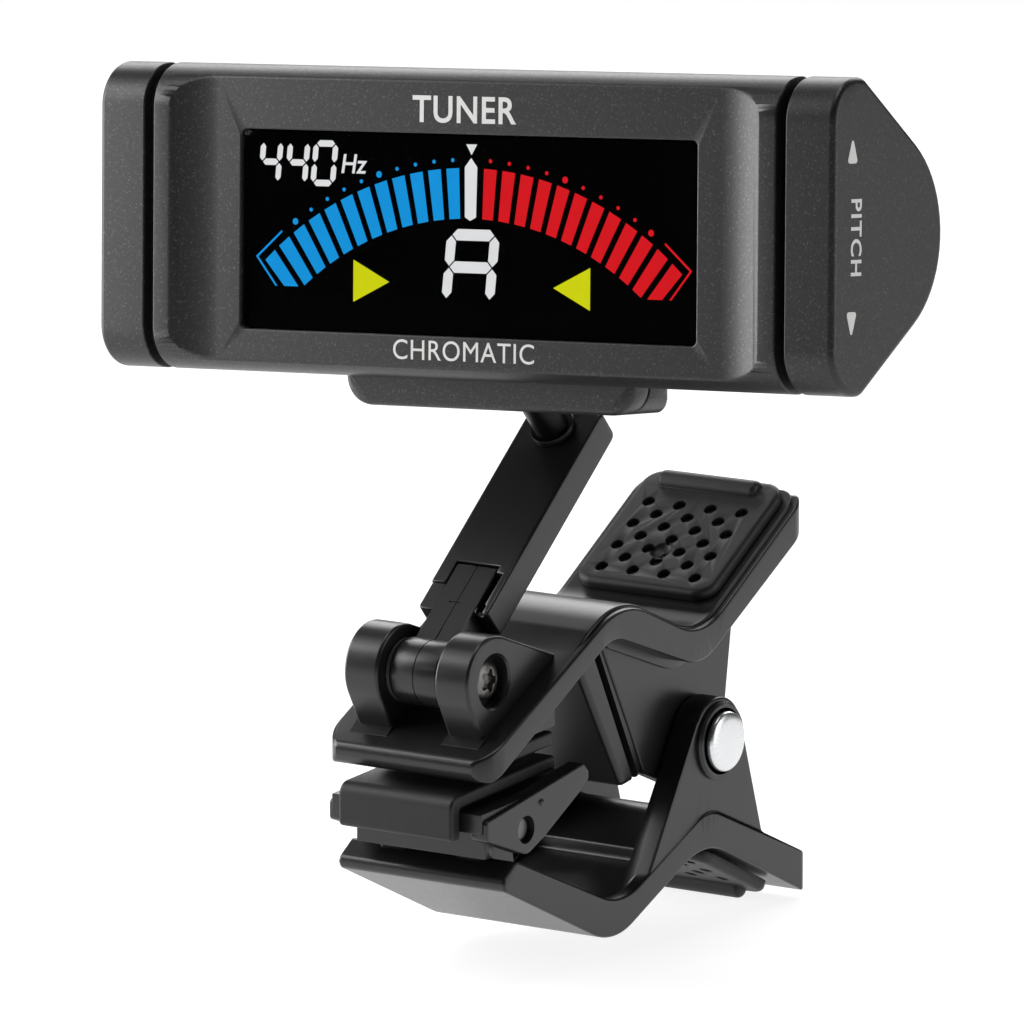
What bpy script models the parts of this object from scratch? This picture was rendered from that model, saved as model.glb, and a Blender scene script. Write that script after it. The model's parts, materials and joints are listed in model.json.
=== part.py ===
"""Clip-on tuner: a display head on a ball joint, a hinged arm, and a spring clip.

Origin: the middle of the gripping gap between the two jaws. +X is to the right as the display is read,
+Y runs from the jaws back to the thumb plates, +Z is up. Sizes are millimetres; the helpers scale to metres.
"""

import math

import bmesh
import bpy
from mathutils import Matrix, Vector

MM = 0.001
GAP = 0.3  # between pieces that touch
RUNNING = 0.07  # radial clearance of a shaft that turns
ARC_STEP = 18.0  # degrees of arc to one facet

# Clip. Its outlines are (y, z, corner radius) from the arm hinge's axis.
ARM_HINGE = Vector((0.0, -2.0, 7.75))
CLIP_HALF = 8.2
PIVOT = (29.1, -9.5)
PIVOT_BOSS_R = 3.6
PIVOT_PIN_R = 1.5
PIN_HEAD_R = 2.5
PIN_HEAD_T = 0.65
BOSS_RIM = 0.4
WEB_T = 2.4
CHEEK_OUT = CLIP_HALF - WEB_T - GAP
CHEEK_T = 1.5
FRONT_PLAN_R = 3.0
REAR_PLAN_R = 2.2
LOWER_PLAN_R = 1.0
UPPER_FRONT_Y = -4.4
LOWER_FRONT_Y = -2.3
REAR_Y = 42.4
GRIP_HALF = CLIP_HALF - 1.35
UPPER_GRIP_LENGTH = 14.0
LOWER_GRIP_LENGTH = 11.6
GRIP_T = 1.3

# Jaws.
ROCKER_AXIS = (2.05, -12.25)
ROCKER_PIN_R = 0.9
ROCKER_HALF = CLIP_HALF - 0.4
ROCKER_CHEEK_T = 1.6
BRACKET_OUT = ROCKER_HALF - ROCKER_CHEEK_T - 1.2
BRACKET_IN = BRACKET_OUT - 2.4
BRACKET_R = 1.6
PAD_HALF = 5.6
PAD_T = 1.2
PAD_SLOPE = 0.079
PAD_FRONT_Y = -5.2
PAD_REAR_Y = 9.4
ROCKER_PAD_Z = -8.6  # its gripping face, where y is -3.3
JAW_GAP = 0.85
UPPER_PAD_Y = (0.2, 9.0)

# Arm hinge.
EAR_R = 3.7
EAR_IN = 2.8
EAR_OUT = 6.1
SCREW_R = 1.2
SCREW_HEAD_R = 1.6
COUNTERBORE_R = 2.15
COUNTERBORE = 1.1
NUT_R = 2.1
WASHER_T = 0.3
WASHER_R = 2.6
BARREL_R = 2.7
TONGUE_HALF = 2.0

# Arm, measured along its length and square to its front face from the hinge's axis.
ARM_LEAN = 40.9
ARM_HALF = 3.5
ARM_LENGTH = 27.2
ARM_FOOT = 5.2
ARM_FRONT = 1.8
ARM_BACK = -1.1
TONGUE_END = 12.0
STUD_AT = 24.3
STUD_LENGTH = 9.0

# Ball joint.
BALL_R = 2.4
NECK_R = 1.1
STUD_R = 1.5
COLLAR_R = 1.9
LINER_T = 0.65
BALL_CLEAR = 0.06
HEAD_TILT = -5.8  # about X
HEAD_ROLL = -3.6  # about Y
MOUTH_ANGLE = 27.0
LINER_MOUTH = 45.0

# Display head, in its own frame: x along it, y back from its front face, z up from its middle.
HEAD_LENGTH = 72.0
HEAD_HEIGHT = 25.0
HEAD_DEPTH = 15.7
BACK_ANGLE = 34.8
FLAT_TOP = 4.3
FRONT_R = 3.6
RIDGE_R = 1.5
CASE_WALL = 1.5
CAP_LENGTH = 4.6
GROOVE = 0.9  # between the case and a cap
CASE_HALF = HEAD_LENGTH / 2 - CAP_LENGTH - GROOVE
SPLIT_Y = 6.6
SEAM = 0.2
SCOOP_DEPTH = 1.1
SCOOP_FLAT_HALF = CASE_HALF - 5.9
SCOOP_R = 9.3
WINDOW = (44.7, 16.2)
WINDOW_Z = -0.8
WINDOW_Y = 1.3
WINDOW_T = 0.6
LCD_Y = WINDOW_Y + WINDOW_T + GAP
LCD_T = 0.7
LCD = (WINDOW[0] + 2.5, WINDOW[1] + 1.8)
BOARD_Y = LCD_Y + LCD_T + 0.2
BOARD_T = 0.6
BOARD = (LCD[0] + 0.8, LCD[1] + 1.0)
CELL_R = 5.2
CELL_LENGTH = 44.5
CELL_Y = 9.15
CELL_CLEAR = 0.35
CONTACT_AT = CELL_LENGTH / 2 + 2.15
CONTACT_T = 0.3
CELL_NIB = 0.8
DOOR_HALF = CELL_LENGTH / 2 + 1.75
DOOR_HALF_Z = 6.2
DOOR_WALL = 1.1
BLOCK_HALF = 14.2
BLOCK_FRONT_Y = 4.4
BLOCK_REAR_Y = 14.5
SOCKET = (-1.2, 9.56, -10.9)
SEAT_R = BALL_R + BALL_CLEAR + LINER_T + GAP
BLOCK_Z = SOCKET[2] - SEAT_R - 0.59
HOUSING_HALF = SEAT_R + 2.2
SHUTTLE_AXIS = (7.5, 0.0)
SHUTTLE_SHAFT_R = 2.0
CASE_SCREW = (CASE_HALF - 3.7, 7.3)
SCREW_POST_R = 2.1

parts = bpy.data.collections.new("clip_on_tuner")
cutters = bpy.data.collections.new("cutters")


# ---------------------------------------------------------------- outlines


def rounded(corners, step=ARC_STEP):
    """Points of a closed polygon whose corners (a, b, radius) are rounded with arcs."""
    points = []
    count = len(corners)
    for i, (a, b, radius) in enumerate(corners):
        here = Vector((a, b))
        back = (Vector(corners[i - 1][:2]) - here).normalized()
        ahead = (Vector(corners[(i + 1) % count][:2]) - here).normalized()
        turn = math.pi - back.angle(ahead)
        if radius <= 0 or turn < 0.02:
            points.append(here)
            continue
        centre = here + (back + ahead).normalized() * radius / math.cos(turn / 2)
        start = here + back * radius * math.tan(turn / 2) - centre
        end = here + ahead * radius * math.tan(turn / 2) - centre
        sweep = start.angle_signed(end)
        facets = max(1, math.ceil(math.degrees(turn) / step))
        for k in range(facets + 1):
            angle = -sweep * k / facets
            arm = Matrix.Rotation(angle, 2) @ start
            points.append(centre + arm)
    return points


def arc(centre, radius, start, end, facets):
    """Points along an arc, in degrees."""
    angles = [math.radians(start + (end - start) * k / facets) for k in range(facets + 1)]
    return [Vector((centre[0] + radius * math.cos(a), centre[1] + radius * math.sin(a))) for a in angles]


def tangent_angle(point, centre, radius, side):
    """The direction from a circle's centre to where a tangent from a point touches it, in degrees."""
    away = Vector(point) - Vector(centre)
    return math.degrees(math.atan2(away.y, away.x) + side * math.acos(radius / away.length))


def line(point, slope):
    """A straight edge, as a function of y."""
    return lambda y: point[1] + slope * (y - point[0])


def crossing(first, second):
    """Where two straight edges meet."""
    a0, a1 = first(0.0), second(0.0)
    y = (a1 - a0) / ((first(1.0) - a0) - (second(1.0) - a1))
    return y, first(y)


# ---------------------------------------------------------------- shapes


def new_object(name, mesh, collection):
    obj = bpy.data.objects.new(name, mesh)
    collection.objects.link(obj)
    if collection is cutters:
        obj.hide_render = True
        obj.display_type = "WIRE"
    return obj


def from_bmesh(shape, name):
    mesh = bpy.data.meshes.new(name)
    shape.to_mesh(mesh)
    shape.free()
    return mesh


AXES = {
    "X": Matrix(((0, 0, 1), (1, 0, 0), (0, 1, 0))).to_4x4(),
    "Y": Matrix(((1, 0, 0), (0, 0, -1), (0, 1, 0))).to_4x4(),
    "Z": Matrix.Identity(4),
}


def prism(outline, low, high, axis="X"):
    """A mesh: a flat outline in the plane square to the axis, run along it from low to high."""
    curve = bpy.data.curves.new("outline", "CURVE")
    curve.dimensions = "2D"
    curve.fill_mode = "BOTH"
    curve.extrude = (high - low) / 2 * MM
    spline = curve.splines.new("POLY")
    spline.points.add(len(outline) - 1)
    spline.use_cyclic_u = True
    for point, (a, b) in zip(spline.points, outline):
        point.co = (a * MM, b * MM, 0, 1)
    guide = bpy.data.objects.new("outline", curve)
    bpy.context.scene.collection.objects.link(guide)
    graph = bpy.context.evaluated_depsgraph_get()
    mesh = bpy.data.meshes.new_from_object(guide.evaluated_get(graph))
    bpy.data.objects.remove(guide)
    bpy.data.curves.remove(curve)
    shape = bmesh.new()
    shape.from_mesh(mesh)
    bmesh.ops.remove_doubles(shape, verts=shape.verts, dist=1e-7)
    middle = (high + low) / 2 * MM
    along = -middle if axis == "Y" else middle
    turn = AXES[axis] @ Matrix.Translation((0, 0, along))
    bmesh.ops.transform(shape, matrix=turn, verts=shape.verts)
    bmesh.ops.recalc_face_normals(shape, faces=shape.faces)
    shape.to_mesh(mesh)
    shape.free()
    return mesh


def box(low, high):
    """A mesh: a box between two corners."""
    shape = bmesh.new()
    bmesh.ops.create_cube(shape, size=1.0)
    low, high = Vector(low) * MM, Vector(high) * MM
    size = Matrix.Diagonal((*(high - low), 1.0))
    bmesh.ops.transform(shape, matrix=Matrix.Translation((low + high) / 2) @ size, verts=shape.verts)
    return from_bmesh(shape, "box")


def cylinder(radius, start, end, sides=24, end_radius=None):
    """A mesh: a cylinder or cone between two points."""
    start, end = Vector(start) * MM, Vector(end) * MM
    run = end - start
    shape = bmesh.new()
    bmesh.ops.create_cone(
        shape,
        cap_ends=True,
        segments=sides,
        radius1=radius * MM,
        radius2=(radius if end_radius is None else end_radius) * MM,
        depth=run.length,
    )
    turn = Vector((0, 0, 1)).rotation_difference(run).to_matrix().to_4x4()
    bmesh.ops.transform(shape, matrix=Matrix.Translation((start + end) / 2) @ turn, verts=shape.verts)
    return from_bmesh(shape, "cylinder")


def ball(radius, centre, segments=24):
    """A mesh: a sphere."""
    shape = bmesh.new()
    bmesh.ops.create_uvsphere(shape, u_segments=segments, v_segments=segments // 2, radius=radius * MM)
    bmesh.ops.translate(shape, vec=Vector(centre) * MM, verts=shape.verts)
    return from_bmesh(shape, "ball")


def turned(name, profile, place, steps=24):
    """An object: a profile of (radius, height), outer side top to bottom, turned about its local Z."""
    shape = bmesh.new()
    points = [shape.verts.new((r * MM, 0, h * MM)) for r, h in profile]
    for i, point in enumerate(points):
        following = points[(i + 1) % len(points)]
        if point.co.x > 0 or following.co.x > 0:
            shape.edges.new((point, following))
    obj = new_object(name, from_bmesh(shape, name), parts)
    obj.matrix_basis = place
    screw = obj.modifiers.new("turn", "SCREW")
    screw.steps = screw.render_steps = steps
    screw.use_merge_vertices = True
    screw.merge_threshold = 1e-6
    return obj


# ---------------------------------------------------------------- assembly helpers


def frame(name, place, parent=None):
    """An empty that carries a group of pieces."""
    empty = bpy.data.objects.new(name, None)
    parts.objects.link(empty)
    empty.empty_display_size = 0.004
    empty.parent = parent
    empty.matrix_basis = place
    return empty


def piece(name, mesh, parent, origin=(0, 0, 0)):
    """An object made from a mesh given in its parent's frame, with its own origin on its joint."""
    mesh.transform(Matrix.Translation(-Vector(origin) * MM))
    obj = new_object(name, mesh, parts)
    obj.parent = parent
    obj.location = Vector(origin) * MM
    return obj


def shaped(obj, operation, mesh, turn=None):
    """A Boolean on an object, by a mesh given in the same parent's frame."""
    tool = new_object(f"{obj.name}_tool", mesh, cutters)
    tool.parent = obj.parent
    if turn is not None:
        tool.matrix_basis = turn
    modifier = obj.modifiers.new(operation.lower(), "BOOLEAN")
    modifier.operation = operation
    modifier.solver = "EXACT"
    modifier.object = tool
    return tool


def join(obj, *meshes):
    for mesh in meshes:
        shaped(obj, "UNION", mesh)


def cut(obj, *meshes):
    for mesh in meshes:
        shaped(obj, "DIFFERENCE", mesh)


def keep(obj, mesh):
    shaped(obj, "INTERSECT", mesh)


def softened(obj, width, segments=1, angle=40):
    """Rounded edges, on an object with no Boolean."""
    bevel = obj.modifiers.new("edges", "BEVEL")
    bevel.width = width * MM
    bevel.segments = segments
    bevel.limit_method = "ANGLE"
    bevel.angle_limit = math.radians(angle)
    return obj


def both_sides(make):
    """The meshes that a function of the side gives, right then left."""
    return [make(1), make(-1)]


def slab(outline, inner, outer, side):
    """A prism between two distances from the middle plane, on one side."""
    low, high = sorted((inner * side, outer * side))
    return prism(outline, low, high)


# ---------------------------------------------------------------- frames


def clip_place(y, z):
    return Matrix.Translation((ARM_HINGE + Vector((0, y, z))) * MM)


ARM_DIRECTION = Matrix.Rotation(math.radians(ARM_LEAN), 4, "X")


def build_frames():
    frames = {"clip": frame("clip_frame", clip_place(0, 0))}
    # The arm's frame: y along the arm, z square to its front face.
    frames["arm"] = frame("arm_frame", clip_place(0, 0) @ ARM_DIRECTION)
    # The ball's frame: z along the stud, away from the arm.
    ball_place = ARM_DIRECTION @ Matrix.Translation(Vector((0, STUD_AT, ARM_FRONT + STUD_LENGTH)) * MM)
    frames["ball"] = frame("ball_frame", clip_place(0, 0) @ ball_place)
    turn = Matrix.Rotation(math.radians(HEAD_ROLL), 4, "Y") @ Matrix.Rotation(math.radians(HEAD_TILT), 4, "X")
    centre = (clip_place(0, 0) @ ball_place).translation
    frames["head"] = frame(
        "head_frame", Matrix.Translation(centre) @ turn @ Matrix.Translation(-Vector(SOCKET) * MM)
    )
    return frames


# ---------------------------------------------------------------- clip levers

UPPER_WALL = line((6.5, -0.3), 0.53)
UPPER_FALL = line((20.0, 2.4), -0.43)
UPPER_THUMB = line((30.6, 1.88), 0.64)
UPPER_WALL_UNDER = line((6.5, -2.5), 0.56)
UPPER_FALL_UNDER = line((16.5, 0.75), -0.364)
UPPER_THUMB_UNDER = line((31.8, 0.15), 0.594)
LOWER_JAW_UNDER = line((-2.3, -16.3), -0.466)
LOWER_RISE_UNDER = line((16.6, -22.65), 0.467)
LOWER_THUMB_UNDER = line((30.0, -18.9), -0.47)
LOWER_JAW_TOP = line((0.0, -14.4), -0.425)
LOWER_RISE_TOP = line((16.6, -20.15), 0.467)
LOWER_THUMB_TOP = line((36.1, -18.6), -0.43)
ROCKER_PAD_FACE = line((-3.3, ROCKER_PAD_Z), PAD_SLOPE)
UPPER_PAD_FACE = line((-3.3, ROCKER_PAD_Z + JAW_GAP), PAD_SLOPE)


def plan(front_y, rear_y, height, front_r, rear_r):
    """The clip's outline from above, as a tall prism."""
    corners = [
        (CLIP_HALF, front_y, front_r),
        (CLIP_HALF, rear_y, rear_r),
        (-CLIP_HALF, rear_y, rear_r),
        (-CLIP_HALF, front_y, front_r),
    ]
    return prism(rounded(corners), -height, height, "Z")


def pivot_hole(radius):
    return cylinder(radius, (-CLIP_HALF - 5, *PIVOT), (CLIP_HALF + 5, *PIVOT))


def ear_outline():
    foot_front = (-1.4, UPPER_WALL(-1.4) - 0.6)
    tip = (9.0, UPPER_WALL(9.0) - 0.3)
    start = tangent_angle(tip, (0, 0), EAR_R, 1)
    end = tangent_angle(foot_front, (0, 0), EAR_R, -1) + 360
    return [Vector(tip)] + arc((0, 0), EAR_R, start, end, 10) + [Vector(foot_front)]


def build_upper_lever(frames):
    front = UPPER_FRONT_Y
    corners = [
        (front, UPPER_WALL(front), 0.7),
        (*crossing(UPPER_WALL, UPPER_FALL), 7.0),
        (*crossing(UPPER_FALL, UPPER_THUMB), 7.0),
        (REAR_Y - 0.3, UPPER_THUMB(REAR_Y - 0.3), 0.6),
        (REAR_Y, UPPER_THUMB_UNDER(REAR_Y), 0.5),
        (*crossing(UPPER_FALL_UNDER, UPPER_THUMB_UNDER), 5.0),
        (*crossing(UPPER_WALL_UNDER, UPPER_FALL_UNDER), 4.0),
        (front + 1.1, UPPER_WALL_UNDER(front + 1.1), 0.7),
    ]
    lever = piece("upper_lever", prism(rounded(corners), -CLIP_HALF, CLIP_HALF), frames["clip"])
    keep(lever, plan(front, REAR_Y, 40, FRONT_PLAN_R, REAR_PLAN_R))
    foot = UPPER_THUMB_UNDER(35.6)
    cheek = [
        (15.2, 1.6, 0),
        (22.2, -11.4, 1.0),
        (26.0, PIVOT[1] - PIVOT_BOSS_R + 0.1, 2.0),
        (PIVOT[0] + PIVOT_BOSS_R, PIVOT[1] - PIVOT_BOSS_R + 0.1, PIVOT_BOSS_R - 0.2),
        (34.1, -6.8, 1.0),
        (35.6, foot + 0.8, 0),
        (26.6, -1.7, 0),
    ]
    inner = CHEEK_OUT - CHEEK_T
    join(lever, *both_sides(lambda side: slab(rounded(cheek), inner, CHEEK_OUT, side)))
    wall = [(15.2, 1.6), (22.2, -11.4), (23.6, -11.0), (17.2, 1.4)]
    join(lever, prism([Vector(p) for p in wall], -CHEEK_OUT + 0.4, CHEEK_OUT - 0.4))
    shelf = lambda y: UPPER_PAD_FACE(y) + PAD_T + GAP
    start, end = UPPER_PAD_Y
    wedge = [
        (start + 0.3, UPPER_WALL_UNDER(start + 0.3) + 0.8),
        (start + 0.3, shelf(start + 0.3)),
        (end + GAP, shelf(end + GAP)),
        (end + GAP, UPPER_WALL_UNDER(end + GAP) + 0.8),
    ]
    join(lever, prism([Vector(p) for p in wedge], -PAD_HALF, PAD_HALF))
    join(lever, *both_sides(lambda side: slab(ear_outline(), EAR_IN, EAR_OUT, side)))
    cut(
        lever,
        pivot_hole(PIVOT_PIN_R + 0.03),
        cylinder(SCREW_R + 0.05, (-EAR_OUT - 1, 0, 0), (EAR_OUT + 1, 0, 0), 20),
        cylinder(COUNTERBORE_R, (EAR_OUT - COUNTERBORE, 0, 0), (EAR_OUT + 1, 0, 0)),
        cylinder(NUT_R + GAP, (-EAR_OUT - 1, 0, 0), (-EAR_OUT + 1.5, 0, 0), 6),
    )
    return lever


def web_outline():
    """A side web of the lower lever: a triangle that wraps the pivot."""
    front, rear = (17.1, -22.4), (36.1, LOWER_THUMB_TOP(36.1) - 1.0)
    start = tangent_angle(rear, PIVOT, PIVOT_BOSS_R, 1)
    end = tangent_angle(front, PIVOT, PIVOT_BOSS_R, -1) + 360
    crest = crossing(LOWER_RISE_TOP, LOWER_THUMB_TOP)
    sunk = [Vector(rear), Vector((crest[0], crest[1] - 2.0)), Vector(front)]
    return arc(PIVOT, PIVOT_BOSS_R, start, end, 12) + [sunk[2], sunk[1], sunk[0]]


def build_lower_lever(frames):
    front = LOWER_FRONT_Y
    corners = [
        (front + 2.6, LOWER_JAW_TOP(front + 2.6), 0.5),
        (*crossing(LOWER_JAW_TOP, LOWER_RISE_TOP), 7.0),
        (*crossing(LOWER_RISE_TOP, LOWER_THUMB_TOP), 4.0),
        (REAR_Y, LOWER_THUMB_TOP(REAR_Y), 0.5),
        (REAR_Y, LOWER_THUMB_UNDER(REAR_Y), 0.5),
        (*crossing(LOWER_RISE_UNDER, LOWER_THUMB_UNDER), 7.0),
        (*crossing(LOWER_JAW_UNDER, LOWER_RISE_UNDER), 6.5),
        (front, LOWER_JAW_UNDER(front), 0.7),
    ]
    body = prism(rounded(corners), -CLIP_HALF, CLIP_HALF)
    lever = piece("lower_lever", body, frames["clip"], (0, *PIVOT))
    keep(lever, plan(front, REAR_Y, 40, LOWER_PLAN_R, LOWER_PLAN_R))
    floor = 1.5  # from the underside, up the z axis
    jaw = lambda y: LOWER_JAW_UNDER(y) + floor
    rise = lambda y: LOWER_RISE_UNDER(y) + floor
    pocket = [
        (front + 3.9, 0.0, 0),
        (front + 3.9, jaw(front + 3.9), 0.5),
        (*crossing(jaw, rise), 5.0),
        (21.8, rise(21.8), 0.5),
        (21.8, 0.0, 0),
    ]
    cut(lever, prism(rounded(pocket), -CLIP_HALF + 1.3, CLIP_HALF - 1.3))
    join(lever, *both_sides(lambda side: slab(web_outline(), CLIP_HALF - WEB_T, CLIP_HALF, side)))
    join(
        lever,
        *both_sides(
            lambda side: cylinder(
                PIVOT_BOSS_R - 0.35,
                ((CLIP_HALF - WEB_T + 0.2) * side, *PIVOT),
                ((CLIP_HALF + BOSS_RIM) * side, *PIVOT),
                24,
            )
        ),
    )
    y, z = ROCKER_AXIS
    bracket = [
        Vector((y + BRACKET_R + 1.4, jaw(y + BRACKET_R + 1.4) - 0.6)),
        Vector((y - BRACKET_R - 0.9, jaw(y - BRACKET_R - 0.9) - 0.6)),
    ]
    start = tangent_angle(bracket[0], ROCKER_AXIS, BRACKET_R, 1)
    end = tangent_angle(bracket[1], ROCKER_AXIS, BRACKET_R, -1) + 360
    ear = arc(ROCKER_AXIS, BRACKET_R, start, end, 8) + [bracket[1], bracket[0]]
    join(lever, *both_sides(lambda side: slab(ear, BRACKET_IN, BRACKET_OUT, side)))
    cut(
        lever,
        pivot_hole(PIVOT_PIN_R + RUNNING),
        cylinder(ROCKER_PIN_R + 0.03, (-BRACKET_OUT - 0.6, y, z), (BRACKET_OUT + 0.6, y, z), 20),
    )
    return lever


def grip_frame(frames, name, edge, middle_y, under):
    """A frame on a thumb plate's outer face: y up the slope, z out of the face."""
    angle = math.atan(edge(1.0) - edge(0.0))
    turn = Matrix.Rotation(angle, 4, "X")
    if under:
        turn = turn @ Matrix.Rotation(math.pi, 4, "Y")
    spot = Matrix.Translation(Vector((0, middle_y, edge(middle_y))) * MM)
    return frame(name, clip_place(0, 0) @ spot @ turn)


def build_thumb_grip(name, holder, length):
    """A rubber pad with a cross rib at its outer end."""
    half = length / 2
    corners = [
        (GRIP_HALF, -half, 1.8),
        (GRIP_HALF, half, 1.8),
        (-GRIP_HALF, half, 1.8),
        (-GRIP_HALF, -half, 1.8),
    ]
    grip = piece(name, prism(rounded(corners), GAP, GRIP_T, "Z"), holder)
    rib_y = half - 1.2
    join(grip, cylinder(0.85, (-4.5, rib_y, GRIP_T), (4.5, rib_y, GRIP_T), 12))
    return grip


def build_torsion_spring(frames):
    """Coils round the pivot pin, with one leg out to each thumb plate."""
    wire, coil_r, turns, half = 0.5, 2.75, 4.5, 2.9
    y, z = PIVOT
    per_turn = 14
    top = (36.0, UPPER_THUMB_UNDER(36.0) - wire - GAP - 0.1)
    low = (37.0, LOWER_THUMB_TOP(37.0) + wire + GAP + 0.2)
    start = math.radians(tangent_angle(top, PIVOT, coil_r, 1))
    end = math.radians(tangent_angle(low, PIVOT, coil_r, -1)) + 2 * math.pi * turns
    turns_run = (end - start) / (2 * math.pi)
    count = round(turns_run * per_turn)
    path = [(-half, *top)]
    for k in range(count + 1):
        angle = start + (end - start) * k / count
        along = -half + 2 * half * k / count
        path.append((along, y + coil_r * math.cos(angle), z + coil_r * math.sin(angle)))
    path.append((half, *low))
    curve = bpy.data.curves.new("torsion_spring", "CURVE")
    curve.dimensions = "3D"
    curve.bevel_depth = wire * MM
    curve.bevel_resolution = 1
    curve.use_fill_caps = True
    spline = curve.splines.new("POLY")
    spline.points.add(len(path) - 1)
    for point, place in zip(spline.points, path):
        point.co = (*(Vector(place) * MM), 1)
    spring = bpy.data.objects.new("torsion_spring", curve)
    parts.objects.link(spring)
    spring.parent = frames["clip"]
    return spring


def build_pivot_pin():
    """Turned pin with a domed head on the right, and a pressed cap on its left end."""
    face = CLIP_HALF + BOSS_RIM + 0.1
    turn = Matrix.Rotation(math.pi / 2, 4, "Y")
    place = clip_place(*PIVOT) @ turn
    end = -face - PIN_HEAD_T + 0.2
    profile = [
        (0, face + PIN_HEAD_T),
        (PIN_HEAD_R * 0.62, face + PIN_HEAD_T - 0.08),
        (PIN_HEAD_R - 0.12, face + PIN_HEAD_T - 0.25),
        (PIN_HEAD_R, face + PIN_HEAD_T - 0.42),
        (PIN_HEAD_R, face),
        (PIVOT_PIN_R, face),
        (PIVOT_PIN_R, end + 0.2),
        (PIVOT_PIN_R - 0.2, end),
        (0, end),
    ]
    pin = turned("pivot_pin", profile, place)
    outer = -face - PIN_HEAD_T - 0.35
    cap = [
        (PIVOT_PIN_R + 0.06, -face),
        (PIN_HEAD_R, -face),
        (PIN_HEAD_R, outer + 0.45),
        (PIN_HEAD_R - 0.15, outer + 0.25),
        (PIN_HEAD_R * 0.62, outer + 0.08),
        (0, outer),
        (0, end - 0.15),
        (PIVOT_PIN_R + 0.06, end - 0.15),
    ]
    shape = turned("pivot_cap", cap, place)
    return pin, shape


# ---------------------------------------------------------------- jaws


def build_upper_jaw_pad(frames):
    start, end = UPPER_PAD_Y
    corners = [
        (start, UPPER_PAD_FACE(start), 0.3),
        (end, UPPER_PAD_FACE(end), 0.3),
        (end, UPPER_PAD_FACE(end) + PAD_T, 0),
        (start + 0.6, UPPER_PAD_FACE(start + 0.6) + PAD_T, 0),
        (start, UPPER_PAD_FACE(start) + 0.7, 0),
    ]
    return piece("upper_jaw_pad", prism(rounded(corners), -PAD_HALF, PAD_HALF), frames["clip"])


def build_rocker(frames):
    """The pivoting pad carrier: a deck between two cheeks, and the rubber pad that wraps its front."""
    y, z = ROCKER_AXIS
    seat = lambda t: ROCKER_PAD_FACE(t) - PAD_T - GAP
    deck_t = 0.9
    deck = [
        (PAD_FRONT_Y + 1.6, seat(PAD_FRONT_Y + 1.6)),
        (PAD_FRONT_Y + 1.6, -11.8),
        (PAD_FRONT_Y + 2.8, -11.8),
        (PAD_FRONT_Y + 3.4, seat(PAD_FRONT_Y + 3.4) - deck_t),
        (10.4, seat(10.4) - deck_t),
        (10.4, seat(10.4)),
    ]
    half = ROCKER_HALF - 0.4
    mesh = prism([Vector(p) for p in deck], -half, half)
    rocker = piece("jaw_rocker", mesh, frames["clip"], (0, y, z))
    cheek = [
        (-3.4, -10.7, 0.4),
        (-3.4, -12.3, 0.4),
        (2.2, -14.4, 1.4),
        (4.7, -13.3, 1.0),
        (9.5, -10.6, 0.3),
        (10.9, -9.6, 0.4),
        (10.9, -8.9, 0.4),
        (10.2, -8.2, 0.3),
    ]
    inner = ROCKER_HALF - ROCKER_CHEEK_T
    join(rocker, *both_sides(lambda side: slab(rounded(cheek), inner, ROCKER_HALF, side)))
    cut(rocker, cylinder(ROCKER_PIN_R + RUNNING, (-ROCKER_HALF - 1, y, z), (ROCKER_HALF + 1, y, z), 20))
    front = PAD_FRONT_Y
    pad = [
        (front, ROCKER_PAD_FACE(front), 1.0),
        (front, -12.3, 0.4),
        (front + 1.3, -12.3, 0.3),
        (front + 1.3, seat(front + 1.3) + GAP, 0.2),
        (PAD_REAR_Y, seat(PAD_REAR_Y) + GAP, 0),
        (PAD_REAR_Y, ROCKER_PAD_FACE(PAD_REAR_Y), 0.4),
    ]
    rubber = piece("rocker_pad", prism(rounded(pad), -PAD_HALF, PAD_HALF), frames["clip"], (0, y, z))
    half_pin = ROCKER_HALF - 0.5
    pin_mesh = cylinder(ROCKER_PIN_R, (-half_pin, y, z), (half_pin, y, z), 20)
    pin = piece("rocker_pin", pin_mesh, frames["clip"], (0, y, z))
    return rocker, rubber, pin


# ---------------------------------------------------------------- arm


def build_arm(frames):
    """A flat arm with a slot in its foot for the knuckle's tongue."""
    mesh = box((-ARM_HALF, ARM_FOOT, ARM_BACK), (ARM_HALF, ARM_LENGTH, ARM_FRONT))
    arm = piece("arm", mesh, frames["arm"])
    softened(arm, 0.35, 2, 60)
    slot = TONGUE_HALF + 0.35
    cut(
        arm,
        box((-slot, ARM_FOOT - 1, ARM_BACK + 0.55), (slot, TONGUE_END + GAP, ARM_FRONT - 0.55)),
        box((-slot, ARM_FOOT - 1, 0), (slot, ARM_FOOT + 2.4, ARM_FRONT + 1)),
        cylinder(1.06, (0, STUD_AT, ARM_BACK - 1), (0, STUD_AT, ARM_FRONT + 1), 20),
    )
    barrel_half = EAR_IN - WASHER_T - 0.2
    barrel = cylinder(BARREL_R, (-barrel_half, 0, 0), (barrel_half, 0, 0))
    knuckle = piece("arm_knuckle", barrel, frames["arm"])
    low, high = ARM_BACK + 0.55 + 0.15, ARM_FRONT - 0.55 - 0.15
    join(knuckle, box((-TONGUE_HALF, 0, low), (TONGUE_HALF, TONGUE_END, high)))
    cut(knuckle, cylinder(SCREW_R + RUNNING, (-4, 0, 0), (4, 0, 0), 20))
    return arm, knuckle


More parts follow.
